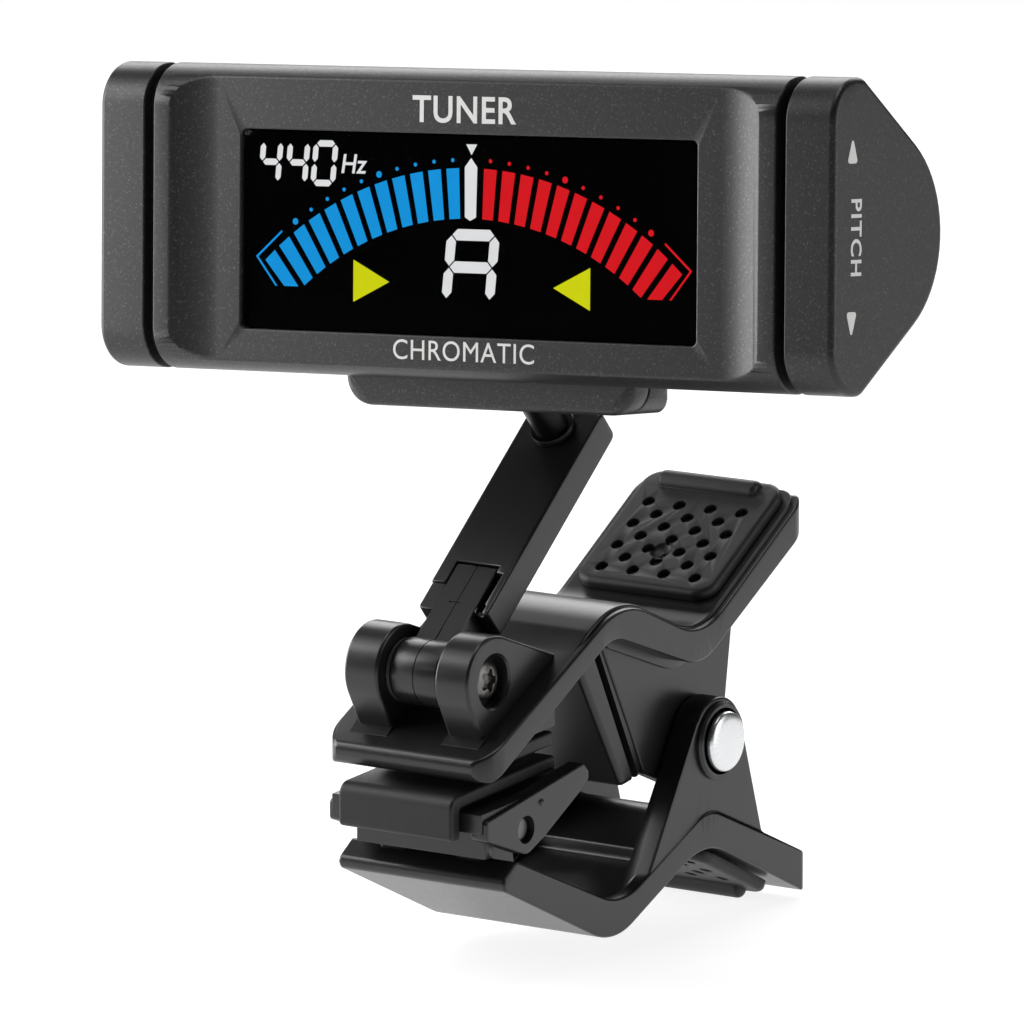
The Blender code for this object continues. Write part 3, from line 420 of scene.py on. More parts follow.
def finish_piece(name, shape, place, body, material, replaces=(), smooth=34):
    """The shape as an object in the model's frame, riding on a body."""
    moved(shape, Matrix.Scale(MM, 4) @ place)
    mesh = mesh_of(shape, name)
    mesh.shade_smooth()
    mesh.set_sharp_from_angle(angle=math.radians(smooth))
    mesh.materials.append(material)
    piece = bpy.data.objects.new(name, mesh)
    bpy.context.scene.collection.objects.link(piece)
    normals = piece.modifiers.new("normals", "WEIGHTED_NORMAL")
    normals.keep_sharp = True
    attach(piece, body)
    if replaces:
        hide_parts(*replaces)
    return piece


# ---------------------------------------------------------------- materials


class Nodes:
    """Short forms for a material's nodes."""

    def __init__(self, name):
        self.material = bpy.data.materials.new(name)
        self.material.use_nodes = True
        self.tree = self.material.node_tree
        self.shader = self.tree.nodes["Principled BSDF"]
        self.place = self.add("ShaderNodeTexCoord").outputs["Object"]

    def add(self, kind, **settings):
        node = self.tree.nodes.new(kind)
        for key, value in settings.items():
            if key in node.inputs:
                node.inputs[key].default_value = value
            else:
                setattr(node, key, value)
        return node

    def link(self, output, target):
        self.tree.links.new(output, target)

    def noise(self, scale, detail=2.0, rough=0.5, stretch=None):
        node = self.add("ShaderNodeTexNoise", Scale=scale, Detail=detail, Roughness=rough)
        source = self.place
        if stretch:
            mapping = self.add("ShaderNodeMapping")
            mapping.inputs["Scale"].default_value = stretch
            self.link(source, mapping.inputs["Vector"])
            source = mapping.outputs["Vector"]
        self.link(source, node.inputs["Vector"])
        return node.outputs["Fac"]

    def cells(self, scale):
        node = self.add("ShaderNodeTexVoronoi", Scale=scale)
        self.link(self.place, node.inputs["Vector"])
        return node

    def ramp(self, source, stops):
        node = self.add("ShaderNodeValToRGB")
        elements = node.color_ramp.elements
        while len(elements) < len(stops):
            elements.new(0.5)
        for element, (at, colour) in zip(elements, stops):
            element.position = at
            element.color = (*colour, 1.0)
        self.link(source, node.inputs["Fac"])
        return node.outputs["Color"]

    def spread(self, source, low, high):
        node = self.add("ShaderNodeMapRange")
        node.inputs["To Min"].default_value = low
        node.inputs["To Max"].default_value = high
        self.link(source, node.inputs["Value"])
        return node.outputs["Result"]

    def mix(self, share, first, second):
        node = self.add("ShaderNodeMix", data_type="RGBA")
        for value, socket in ((share, 0), (first, 6), (second, 7)):
            if hasattr(value, "links"):
                self.link(value, node.inputs[socket])
            else:
                node.inputs[socket].default_value = value if socket == 0 else (*value, 1.0)
        return node.outputs[2]

    def bump(self, height, strength, distance):
        node = self.add("ShaderNodeBump", Strength=strength, Distance=distance * MM)
        self.link(height, node.inputs["Height"])
        return node.outputs["Normal"]

    def surface(self, colour=None, roughness=None, normal=None, **sockets):
        for source, name in ((colour, "Base Color"), (roughness, "Roughness"), (normal, "Normal")):
            if source is None:
                continue
            if hasattr(source, "links"):
                self.link(source, self.shader.inputs[name])
            else:
                self.shader.inputs[name].default_value = source if name != "Base Color" else (*source, 1.0)
        for name, value in sockets.items():
            self.shader.inputs[name.replace("_", " ")].default_value = value
        return self.material


def satin_paint():
    """Dark warm grey paint with a fine metal flake."""
    n = Nodes("satin_paint")
    flakes = n.cells(8200)
    bright = n.ramp(
        flakes.outputs["Color"],
        [(0.0, (0.012, 0.0117, 0.012)), (0.75, (0.021, 0.0204, 0.021)), (0.97, (0.085, 0.082, 0.08))],
    )
    cloud = n.noise(900, 3)
    colour = n.mix(n.spread(cloud, 0.1, 0.5), bright, (0.018, 0.0176, 0.018))
    rough = n.spread(n.noise(2600, 2), 0.33, 0.44)
    normal = n.bump(n.noise(3800, 2), 0.35, 0.012)
    return n.surface(colour, rough, normal, Metallic=0.4, Specular_IOR_Level=0.6)


def moulded_plastic(name, base, low, high):
    """Smooth moulded plastic with faint flow marks."""
    n = Nodes(name)
    flow = n.noise(260, 3, 0.6, (1.0, 0.35, 1.0))
    worn = n.noise(1500, 4, 0.7)
    lighter = tuple(c * 1.35 for c in base)
    darker = tuple(c * 0.85 for c in base)
    colour = n.mix(n.spread(flow, 0.2, 0.8), darker, lighter)
    rough = n.spread(worn, low, high)
    normal = n.bump(n.noise(5200, 2), 0.3, 0.006)
    return n.surface(colour, rough, normal, Specular_IOR_Level=0.5)


def rubber():
    """Dull black rubber with a fine grain."""
    n = Nodes("rubber")
    colour = n.mix(n.spread(n.noise(700, 4), 0.1, 0.9), (0.0045, 0.0045, 0.0045), (0.010, 0.010, 0.010))
    rough = n.spread(n.noise(2400, 3), 0.42, 0.58)
    normal = n.bump(n.noise(4200, 3), 0.45, 0.02)
    return n.surface(colour, rough, normal, Specular_IOR_Level=0.4)


def brushed_pin():
    """Silver with turning marks round its own axis, which runs along X."""
    n = Nodes("brushed_steel")
    mapping = n.add("ShaderNodeMapping")
    mapping.inputs["Location"].default_value = -(CLIP @ Vector((0, *PIVOT))) * MM
    n.link(n.place, mapping.inputs["Vector"])
    split = n.add("ShaderNodeSeparateXYZ")
    n.link(mapping.outputs["Vector"], split.inputs[0])
    angle = n.add("ShaderNodeMath", operation="ARCTAN2")
    n.link(split.outputs["Y"], angle.inputs[0])
    n.link(split.outputs["Z"], angle.inputs[1])
    spokes = n.add("ShaderNodeTexNoise", noise_dimensions="1D", Scale=24.0, Detail=5.0)
    n.link(angle.outputs[0], spokes.inputs["W"])
    colour = n.ramp(spokes.outputs["Fac"], [(0.3, (0.62, 0.63, 0.64)), (0.7, (0.88, 0.89, 0.90))])
    rough = n.spread(spokes.outputs["Fac"], 0.24, 0.40)
    normal = n.bump(spokes.outputs["Fac"], 0.15, 0.01)
    return n.surface(colour, rough, normal, Metallic=1.0)


def plated(name, base, low, high):
    """Plated or blacked metal, a little cloudy."""
    n = Nodes(name)
    darker, lighter = (tuple(c * share for c in base) for share in (0.75, 1.2))
    colour = n.mix(n.spread(n.noise(1200, 3), 0.2, 0.8), darker, lighter)
    rough = n.spread(n.noise(2800, 3), low, high)
    normal = n.bump(n.noise(3000, 2), 0.3, 0.01)
    return n.surface(colour, rough, normal, Metallic=1.0)


def glowing(name, colour):
    """A lit part of the display, a little uneven as a backlight is."""
    n = Nodes(name)
    even = n.noise(500, 2)
    dim = tuple(c * 0.9 for c in colour)
    glow = n.mix(n.spread(even, 0.0, 1.0), dim, colour)
    n.link(glow, n.shader.inputs["Emission Color"])
    return n.surface((0.0, 0.0, 0.0), 0.6, None, Emission_Strength=1.0, Specular_IOR_Level=0.0)


def print_ink(name, colour):
    n = Nodes(name)
    shade = n.mix(n.spread(n.noise(1800, 3), 0.2, 0.8), tuple(c * 0.86 for c in colour), colour)
    return n.surface(shade, n.spread(n.noise(2600, 2), 0.45, 0.6), n.bump(n.noise(5000, 2), 0.3, 0.01))


def window_glass():
    n = Nodes("window_glass")
    rough = n.spread(n.noise(300, 2), 0.0, 0.02)
    clear = {"Transmission_Weight": 1.0, "IOR": 1.4, "Specular_IOR_Level": 0.3}
    return n.surface((0.95, 0.95, 0.96), rough, None, **clear)


def display_black():
    """The dark of the display, with a trace of its cell pattern."""
    n = Nodes("display_black")
    shade = n.mix(n.spread(n.noise(400, 2), 0.2, 0.8), (0.0006, 0.0006, 0.0008), (0.0012, 0.0012, 0.0014))
    return n.surface(shade, n.spread(n.noise(900, 2), 0.04, 0.08), None, Specular_IOR_Level=0.05)


def circuit():
    """Green lacquer with copper under it in fine tracks."""
    n = Nodes("circuit_board")
    lines = n.add("ShaderNodeTexBrick", Scale=900.0)
    n.link(n.place, lines.inputs["Vector"])
    tracks = n.mix(lines.outputs["Fac"], (0.012, 0.09, 0.035), (0.03, 0.16, 0.06))
    return n.surface(tracks, n.spread(n.noise(1500, 2), 0.3, 0.5), n.bump(lines.outputs["Fac"], 0.4, 0.03))


PAINT = satin_paint()
PLASTIC = moulded_plastic("clip_plastic", (0.0085, 0.0085, 0.0095), 0.26, 0.36)
ROCKER_PLASTIC = moulded_plastic("rocker_plastic", (0.011, 0.011, 0.0125), 0.26, 0.36)
NYLON = moulded_plastic("liner_nylon", (0.03, 0.03, 0.03), 0.4, 0.55)
RUBBER = rubber()
BLACKED = plated("blacked_steel", (0.018, 0.018, 0.019), 0.3, 0.42)
SILVER = brushed_pin()
SPRING = plated("spring_wire", (0.42, 0.42, 0.43), 0.25, 0.4)
DARK_STEEL = plated("dark_steel", (0.16, 0.155, 0.15), 0.28, 0.42)
CONTACT = plated("nickel_contact", (0.6, 0.58, 0.52), 0.2, 0.35)
BRASS = plated("brass", (0.7, 0.5, 0.2), 0.22, 0.38)
GLASS = window_glass()
LCD = display_black()
CHIP = moulded_plastic("chip", (0.02, 0.02, 0.021), 0.5, 0.7)
BOARD = circuit()
CELL = moulded_plastic("cell_sleeve", (0.05, 0.055, 0.06), 0.25, 0.4)
WHITE_GLOW = glowing("glow_white", (0.84, 0.85, 0.85))
BLUE_GLOW = glowing("glow_blue", (0.010, 0.330, 0.800))
RED_GLOW = glowing("glow_red", (0.760, 0.012, 0.018))
YELLOW_GLOW = glowing("glow_yellow", (0.70, 0.74, 0.008))
INK = print_ink("white_ink", (0.72, 0.71, 0.70))

# ---------------------------------------------------------------- head


def head_section(inset=0.0, front=None):
    """The head's outline from the side, (y, z), moved in by an inset."""
    slope = math.radians(BACK_ANGLE)
    half = HEAD_HEIGHT / 2 - inset
    front = inset if front is None else front
    shoulder = FLAT_TOP + inset * (math.cos(slope) - 1) / math.sin(slope)
    full_tip = FLAT_TOP + HEAD_HEIGHT / 2 / math.tan(slope)
    tip_r = (full_tip - HEAD_DEPTH) / (1 / math.sin(slope) - 1)
    tip = full_tip - inset / math.sin(slope)
    front_r = max(0.4, min(FRONT_R - inset, shoulder - front - 0.7))
    return rounded(
        [
            (front, -half, front_r),
            (shoulder, -half, max(0.4, RIDGE_R - inset)),
            (tip, 0, tip_r - inset),
            (shoulder, half, max(0.4, RIDGE_R - inset)),
            (front, half, front_r),
        ]
    )


def block_front():
    return rounded(
        [
            (-BLOCK_HALF, BLOCK_Z, 2.4),
            (BLOCK_HALF, BLOCK_Z, 2.4),
            (BLOCK_HALF, -9.0, 0),
            (-BLOCK_HALF, -9.0, 0),
        ]
    )


def socket_tools():
    """The ball's seat, and the mouth that the stud swings in."""
    out = (HEAD.inverted() @ BALL_FRAME).to_3x3() @ Vector((0, 0, -1))
    near, far = 0.9, 9
    narrow, wide = (NECK_CLEAR_R + run * math.tan(math.radians(MOUTH_ANGLE)) for run in (near, far))
    mouth = cylinder(narrow, SOCKET + out * near, SOCKET + out * far, 48, wide)
    return ball(SEAT_R, SOCKET), mouth


def half_space(low_y, high_y):
    return box((-50, low_y, -30), (50, high_y, 30))


def housing(y0, y1):
    """The block inside the case that the ball's seat is cut in."""
    half = SEAT_R + 2.2
    return box((SOCKET.x - half, y0, BLOCK_Z + 1.9), (SOCKET.x + half, y1, -6.3))


def screw_places():
    return [(x, z) for x in (CASE_SCREW_X, -CASE_SCREW_X) for z in (CASE_SCREW_Z, -CASE_SCREW_Z)]


def shaft_hole(side):
    low, high = (CASE_HALF - CASE_WALL - 1) * side, (CASE_HALF + 1) * side
    return cylinder(SHAFT_HOLE_R, (low, SHUTTLE_AXIS_Y, 0), (high, SHUTTLE_AXIS_Y, 0), 32)


def make_front_case():
    """The front shell: hollow, with the long scoop, the window's opening and the seat's front half."""
    case = prism(head_section(), -CASE_HALF, CASE_HALF)
    inside = CASE_HALF - CASE_WALL
    case = cut(case, prism(head_section(CASE_WALL, 2.1), -inside, inside))
    case = keep(case, half_space(-5, SPLIT_Y))
    block = soften(prism(block_front(), BLOCK_FRONT_Y, SPLIT_Y, "Y"), 0.5, 3, 60, lambda p: p.y < SPLIT_Y - 1)
    posts = [cylinder(POST_R, (x, 1.8, z), (x, SPLIT_Y, z), 24) for x, z in screw_places()]
    case = join(case, block, housing(BLOCK_FRONT_Y + 0.6, SPLIT_Y), *posts)
    rise = math.sqrt(SCOOP_R**2 - (SCOOP_R - SCOOP_DEPTH - 0.6) ** 2)
    edge = math.degrees(math.asin(rise / SCOOP_R))
    centre_y = SCOOP_DEPTH - SCOOP_R
    scoop = arc((SCOOP_FLAT_HALF, centre_y), SCOOP_R, 90, 90 - edge, 16)
    scoop += arc((-SCOOP_FLAT_HALF, centre_y), SCOOP_R, 90 + edge, 90, 16)
    opening = prism(rectangle(WINDOW[0] / 2, WINDOW[1] / 2, 0.5, 0, WINDOW_Z), -3, 4, "Y")
    case = cut(case, prism(scoop, -20, 20, "Z"), opening, *socket_tools(), shaft_hole(1), shaft_hole(-1))
    soften(case, 0.16, 3)
    finish_piece("front_shell", case, HEAD, "head", PAINT, ["front_case"])


def make_rear_case():
    """The rear shell: the cell's bed, the door's opening and the seat's rear half."""
    start = SPLIT_Y + SEAM
    inside = CASE_HALF - CASE_WALL
    case = prism(head_section(), -CASE_HALF, CASE_HALF)
    case = cut(case, prism(head_section(CASE_WALL, 1.0), -inside, inside))
    case = keep(case, half_space(start, 40))
    plan = rounded(
        [
            (-BLOCK_HALF, start, 0),
            (BLOCK_HALF, start, 0),
            (BLOCK_HALF, 9.6, 2.0),
            (7.0, BLOCK_REAR_Y, 3.0),
            (-7.0, BLOCK_REAR_Y, 3.0),
            (-BLOCK_HALF, 9.6, 2.0),
        ]
    )
    block = keep(prism(plan, BLOCK_Z, -9.6, "Z"), prism(block_front(), start, BLOCK_REAR_Y + 1, "Y"))
    posts = [cylinder(POST_R, (x, start, z), (x, POST_TOP_Y, z), 24) for x, z in screw_places()]
    case = join(case, block, housing(start, SOCKET.y + 0.24), *posts)
    recesses = [cylinder(SCREW_RECESS_R, (x, POST_FLOOR_Y, z), (x, 20, z), 32) for x, z in screw_places()]
    door = box(
        (-DOOR_HALF - GAP, 9.6, -DOOR_HALF_Z - GAP), (DOOR_HALF + GAP, HEAD_DEPTH + 3, DOOR_HALF_Z + GAP)
    )
    cell = cylinder(CELL_R + 0.35, (-25.2, CELL_Y, 0), (25.2, CELL_Y, 0), 48)
    holes = [cylinder(SCREW_HOLE_R, (x, start - 1, z), (x, 9.0, z), 16) for x, z in screw_places()]
    case = cut(case, cell, *socket_tools(), shaft_hole(1), shaft_hole(-1), door, *recesses, *holes)
    soften(case, 0.14, 2)
    finish_piece("rear_shell", case, HEAD, "head", PAINT, ["rear_case"])


def make_battery_door():
    door = prism(head_section(), -DOOR_HALF, DOOR_HALF)
    door = cut(door, prism(head_section(1.1, 1.0), -DOOR_HALF - 1, DOOR_HALF + 1))
    door = keep(door, box((-DOOR_HALF, 9.6, -DOOR_HALF_Z), (DOOR_HALF, HEAD_DEPTH + 3, DOOR_HALF_Z)))
    low, high = HEAD_DEPTH - 0.6, HEAD_DEPTH + 0.85
    grooves = [box((x - 0.35, low, -3.2), (x + 0.35, high, 3.2)) for x in (-1.6, 0, 1.6)]
    door = cut(door, *grooves)
    soften(door, 0.14, 2)
    finish_piece("door_cover", door, HEAD, "battery_door", PAINT, ["battery_door"])


def make_end_cap(name, node, side):
    """An end cap with its shaft, its outer edge rounded."""
    start, end = (CASE_HALF + GROOVE) * side, HEAD_LENGTH / 2 * side
    cap = prism(head_section(), *sorted((start, end)))
    soften(cap, 0.55, 5, 60, lambda p: abs(p.x) > HEAD_LENGTH / 2 - 0.1)
    soften(cap, 0.14, 2, 60, lambda p: abs(p.x) < CASE_HALF + GROOVE + 0.1)
    skirt = prism(head_section(1.0), *sorted(((CASE_HALF + 0.25) * side, start + 0.5 * side)))
    y = SHUTTLE_AXIS_Y
    shaft = cylinder(SHAFT_R, ((CASE_HALF - 3.0) * side, y, 0), (start + side, y, 0), 32)
    cap = join(cap, skirt, shaft)
    finish_piece(f"{name}_cap", cap, HEAD, node, PAINT, [node], 50)


# ---------------------------------------------------------------- display

ARC_CENTRE = (0.0, -25.8)
BAR_OUT = 30.4
BAR_IN = 26.35
BAR_STEP = 3.42
BAR_WIDTH = 2.35
DOT_R = 31.05
INK_T = 0.02
LAST_BARS_Z = -5.38


def flat(points, y):
    """An outline as a film of ink or light, its back at y."""
    return prism(points, y - INK_T, y, "Y")


def merged(shapes):
    """Shapes that don't touch, as one."""
    whole = bmesh.new()
    for shape in shapes:
        mesh = mesh_of(shape)
        whole.from_mesh(mesh)
        bpy.data.meshes.remove(mesh)
    return whole


def spoke(radius, angle):
    """A point on the meter's arc, the angle in degrees from its top."""
    a = math.radians(angle)
    return Vector((ARC_CENTRE[0] + radius * math.sin(a), ARC_CENTRE[1] + radius * math.cos(a)))


def segment(start, end, width):
    """One bar of a figure: a stroke with pointed ends."""
    start, end = Vector(start), Vector(end)
    along = (end - start).normalized()
    side = Vector((-along.y, along.x)) * width / 2
    tip = along * width / 2
    return [start, start + tip + side, end - tip + side, end, end - tip - side, start + tip - side]


FIGURE_LEAN = 0.1
FIGURE_GAP = 0.09


def figure(lit, x, z, width, height, stroke):
    """A seven-segment figure, its lower left corner at (x, z)."""
    half = height / 2
    ends = {
        "a": ((0, height), (width, height)),
        "b": ((width, height), (width, half)),
        "c": ((width, half), (width, 0)),
        "d": ((0, 0), (width, 0)),
        "e": ((0, half), (0, 0)),
        "f": ((0, height), (0, half)),
        "g": ((0, half), (width, half)),
    }
    shapes = []
    for key in lit:
        first, second = (Vector(p) for p in ends[key])
        step = (second - first).normalized() * FIGURE_GAP
        points = segment(first + step, second - step, stroke)
        shapes.append([Vector((x + p.x + FIGURE_LEAN * p.y, z + p.y)) for p in points])
    return shapes


def make_meter():
    """The lit arc of bars, its dots and end bracket, on both sides of the needle."""
    y = LCD_Y - 0.04
    for side, name, material in ((-1, "flat_bars", BLUE_GLOW), (1, "sharp_bars", RED_GLOW)):
        outlines = []
        half = BAR_WIDTH / 2
        for i in range(12):
            middle = BAR_STEP * (i + 1.02)
            bar = [
                spoke(BAR_OUT, middle - half),
                spoke(BAR_OUT, middle + half),
                spoke(BAR_IN, middle + half * 0.95),
                spoke(BAR_IN, middle - half * 0.95),
            ]
            if i == 11:
                slope = (bar[1] - bar[2]).normalized()
                foot = bar[1] - slope * ((bar[1].y - LAST_BARS_Z) / slope.y)
                inner = (bar[0] - bar[3]).normalized()
                near = bar[0] - inner * ((bar[0].y - LAST_BARS_Z) / inner.y)
                bar = [bar[0], bar[1], foot, near]
            outlines.append(bar)
        for i in range(10):
            radius = 0.27 if i in (4, 9) else 0.16
            centre = spoke(DOT_R, BAR_STEP * (i + 1.0))
            outlines.append(arc(centre, radius, 0, 345, 23))
        outer, inner = BAR_STEP * 10.85, BAR_STEP * 12.03 + half
        knee, thin = spoke(BAR_OUT + 0.85, inner + 0.9), 0.16
        start = spoke(BAR_OUT + 0.85, outer)
        lower = Vector((knee.x - 1.95, LAST_BARS_Z))
        across = (knee - start).normalized()
        down = (lower - knee).normalized()
        offset = Vector((-across.y, across.x)) * -thin
        outlines.append([start, knee, knee + (-across + down) * thin, start + offset])
        outlines.append([knee, lower, lower - Vector((thin * 1.3, 0)), knee + (-across + down) * thin])
        shapes = [flat([Vector((p.x * side, p.y)) for p in points], y) for points in outlines]
        finish_piece(name, merged(shapes), HEAD, "head", material)


def make_figures():
    """The needle, its pointer, the note, the pitch in hertz and the two arrows."""
    y = LCD_Y - 0.04
    needle = [(-0.1, 0.38), (0.46, 0.66), (0.56, 4.68), (-0.04, 5.4), (-0.66, 4.66), (-0.62, 0.66)]
    pointer = [(-0.53, 6.5), (0.53, 6.5), (0.0, 5.65)]
    outlines = [needle, pointer]
    outlines += figure("abcefg", -2.42, -5.95, 4.25, 5.2, 0.92)
    outlines += figure("bcfg", -21.0, 3.05, 1.72, 3.2, 0.52)
    outlines += figure("bcfg", -18.3, 3.05, 1.72, 3.2, 0.52)
    outlines += figure("abcdef", -15.72, 3.05, 1.95, 3.2, 0.52)
    shapes = [flat([Vector(p) for p in points], y) for points in outlines]
    letters = text_shape("Hz", 2.2, 0.16)
    moved(letters, Matrix.Translation((-11.75, y - INK_T, 3.92)))
    finish_piece("display_figures", merged(shapes + [letters]), HEAD, "head", WHITE_GLOW)
    arrows = []
    for side in (-1, 1):
        points = [(11.62 * side, -3.05), (8.05 * side, -4.75), (11.62 * side, -6.45)]
        arrows.append(flat([Vector(p) for p in points], y))
    finish_piece("display_arrows", merged(arrows), HEAD, "head", YELLOW_GLOW)


def text_shape(words, size, lean=0.0, bold=0.02, spacing=1.0):
    """Letters in the xz plane, read from the front, centred on the origin across and standing on it."""
    curve = bpy.data.curves.new("letters", "FONT")
    curve.body = words
    curve.size = size
    curve.shear = lean
    curve.offset = bold
    curve.space_character = spacing
    curve.align_x = "CENTER"
    curve.extrude = INK_T / 2
    curve.resolution_u = 5
    shape = evaluated(curve)
    bmesh.ops.remove_doubles(shape, verts=shape.verts, dist=1e-5)
    return moved(shape, Matrix.Rotation(math.pi / 2, 4, "X"))


def make_case_print():
    """Plain words on the scoop's floor."""
    y = SCOOP_DEPTH - 0.004
    title = moved(text_shape("TUNER", 3.0, 0, 0.05, 1.08), Matrix.Translation((-0.2, y, 8.25)))
    kind = moved(text_shape("CHROMATIC", 2.3, 0, 0.0, 1.06), Matrix.Translation((-0.1, y, -10.85)))
    finish_piece("case_print", merged([title, kind]), HEAD, "head", INK)


def make_cap_print():
    """The word and arrows on the end cap, which say what it turns."""
    face = HEAD_LENGTH / 2 + INK_T / 2
    turn = Matrix.Translation((face, 3.1, 0)) @ Matrix.Rotation(math.pi / 2, 4, "Z")
    word = moved(text_shape("PITCH", 2.05, 0, 0.04, 1.12), Matrix.Rotation(math.pi / 2, 4, "Y"))
    shapes = [moved(word, turn @ Matrix.Translation((-0.6, 0, 0.0)))]
    for way in (1, -1):
        drop = rounded([(-0.75, 0, 0.25), (0.75, 0, 0.25), (0.0, 2.1, 0.16)])
        arrow = [Vector((2.6 + a, way * (5.8 + b))) for a, b in drop]
        shapes.append(prism(arrow, face - INK_T / 2, face + INK_T / 2))
    finish_piece("cap_print", merged(shapes), HEAD, "calibration_shuttle", INK)


# ---------------------------------------------------------------- clip

UPPER_WALL = line((6.5, -0.3), 0.53)
UPPER_FALL = line((20.0, 2.4), -0.43)
UPPER_THUMB = line((30.6, 1.88), 0.64)
UPPER_WALL_UNDER = line((6.5, -2.5), 0.56)
UPPER_FALL_UNDER = line((16.5, 0.75), -0.364)
UPPER_THUMB_UNDER = line((31.8, 0.15), 0.594)
LOWER_JAW_UNDER = line((-2.3, -16.3), -0.466)
LOWER_RISE_UNDER = line((16.6, -22.65), 0.467)
LOWER_THUMB_UNDER = line((30.0, -18.9), -0.47)
LOWER_JAW_TOP = line((0.0, -14.4), -0.425)
LOWER_RISE_TOP = line((16.6, -20.15), 0.467)
LOWER_THUMB_TOP = line((36.1, -18.6), -0.43)
ROCKER_PAD_FACE = line((-3.3, -8.6), 0.079)
UPPER_PAD_FACE = line((-3.3, -7.75), 0.079)


def plan(front_y, rear_y, half, front_r=3.0, rear_r=2.2):
    """A lever's outline from above, as a tall block that its side shape is kept within."""
    right = [(half, front_y, front_r), (half, rear_y, rear_r)]
    left = [(-half, rear_y, rear_r), (-half, front_y, front_r)]
    return prism(rounded(right + left), -40, 40, "Z")


def shifted(edge, rise):
    """An edge moved up, square to itself."""
    rise *= math.hypot(1, edge(1) - edge(0))
    return lambda y: edge(y) + rise


def upper_border():
    front = UPPER_FRONT_Y
    return rounded(
        [
            (front, UPPER_WALL(front), 0.9),
            (*crossing(UPPER_WALL, UPPER_FALL), 7.0),
            (*crossing(UPPER_FALL, UPPER_THUMB), 7.0),
            (REAR_Y - 0.3, UPPER_THUMB(REAR_Y - 0.3), 0.4),
            (REAR_Y, UPPER_THUMB_UNDER(REAR_Y), 0.5),
            (*crossing(UPPER_FALL_UNDER, UPPER_THUMB_UNDER), 5.0),
            (*crossing(UPPER_WALL_UNDER, UPPER_FALL_UNDER), 4.0),
            (front + 1.1, UPPER_WALL_UNDER(front + 1.1), 1.0),
        ],
        4,
    )


def upper_skin():
    """The raised skin, which comes up out of the border behind the ears."""
    top = [shifted(f, SKIN) for f in (UPPER_WALL, UPPER_FALL, UPPER_THUMB)]
    low = [shifted(f, -1.0) for f in (UPPER_WALL, UPPER_FALL, UPPER_THUMB)]
    front, rear = SKIN_FRONT_Y, REAR_Y + 1
    return rounded(
        [
            (front, UPPER_WALL(front) - 0.1, 0),
            (front + 2.6, top[0](front + 2.6), 4.0),
            (*crossing(top[0], top[1]), 7.2),
            (*crossing(top[1], top[2]), 6.8),
            (rear, top[2](rear), 0),
            (rear, low[2](rear), 0),
            (*crossing(low[1], low[2]), 7.0),
            (*crossing(low[0], low[1]), 6.0),
            (front, low[0](front), 0),
        ],
        4,
    )


def ear_outline():
    """A hinge ear: round the screw, with straight edges down to the wall."""
    foot_front = (-1.4, UPPER_WALL(-1.4) - 0.6)
    tip = (9.0, UPPER_WALL(9.0) - 0.3)
    start = tangent_angle(tip, (0, 0), EAR_R, 1)
    end = tangent_angle(foot_front, (0, 0), EAR_R, -1) + 360
    return [Vector(tip)] + arc((0, 0), EAR_R, start, end, 40) + [Vector(foot_front)]


def make_cheeks():
    """The walls that stand down from the upper lever and hold the pin."""
    foot = UPPER_THUMB_UNDER(35.6)
    low = PIVOT[1] - PIVOT_BOSS_R + 0.1
    outline = [
        (15.2, 1.6, 0),
        (22.2, -11.4, 1.0),
        (26.0, low, 2.0),
        (PIVOT[0] + PIVOT_BOSS_R, low, PIVOT_BOSS_R - 0.2),
        (34.1, -6.8, 1.0),
        (35.6, foot + 0.8, 0),
        (26.6, -1.7, 0),
    ]
    points = rounded(outline)
    return both_sides(lambda s: soften(slab(points, CHEEK_OUT - CHEEK_T, CHEEK_OUT, s), 0.15, 2, 50))


def make_cross_wall():
    """The slanted wall in front of the cheeks, grooved where it meets them."""
    wall = rounded([(11.6, 0.9, 0), (19.3, -12.1, 0.7), (22.4, -11.6, 0.7), (17.0, 1.6, 0)])
    groove = rounded([(14.3, 1.0, 0), (21.2, -12.6, 0), (22.0, -12.4, 0), (15.1, 1.2, 0)])
    web = soften(prism(wall, -CHEEK_OUT + 0.15, CHEEK_OUT - 0.15), 0.55, 4, 50)
    return cut(web, *both_sides(lambda s: slab(groove, CHEEK_OUT - 1.3, CHEEK_OUT + 1, s)))


def make_strips():
    """The raised strips under the upper lever's edges, outside the cheeks."""

    def fall(drop):
        return lambda y: UPPER_FALL_UNDER(y) + drop

    def thumb(drop):
        return lambda y: UPPER_THUMB_UNDER(y) + drop

    outline = [
        (15.6, UPPER_FALL_UNDER(15.6) - 0.2, 0.3),
        (16.4, UPPER_FALL_UNDER(16.4) - 0.75, 0.4),
        (*crossing(fall(-0.75), thumb(-0.75)), 4.6),
        (33.0, UPPER_THUMB_UNDER(33.0) - 0.75, 0.3),
        (33.0, UPPER_THUMB_UNDER(33.0) + 0.3, 0),
        (*crossing(fall(0.4), thumb(0.4)), 5.2),
        (16.4, UPPER_FALL_UNDER(16.4) + 0.4, 0),
    ]
    points = rounded(outline)
    return both_sides(lambda s: soften(slab(points, CHEEK_OUT - 0.5, CHEEK_OUT + 0.35, s), 0.1, 2, 50))


def make_pad_holder():
    """The wedge that the upper jaw pad sits on."""
    y0, y1 = UPPER_PAD_ENDS[0] + GAP, UPPER_PAD_ENDS[1] + GAP
    shelf = PAD_T + GAP
    outline = [
        Vector((y0, UPPER_WALL_UNDER(y0) + 0.8)),
        Vector((y0, UPPER_PAD_FACE(y0) + shelf)),
        Vector((y1, UPPER_PAD_FACE(y1) + shelf)),
        Vector((y1, UPPER_WALL_UNDER(y1) + 0.8)),
    ]
    return soften(prism(outline, -PAD_HALF, PAD_HALF), 0.15, 2)


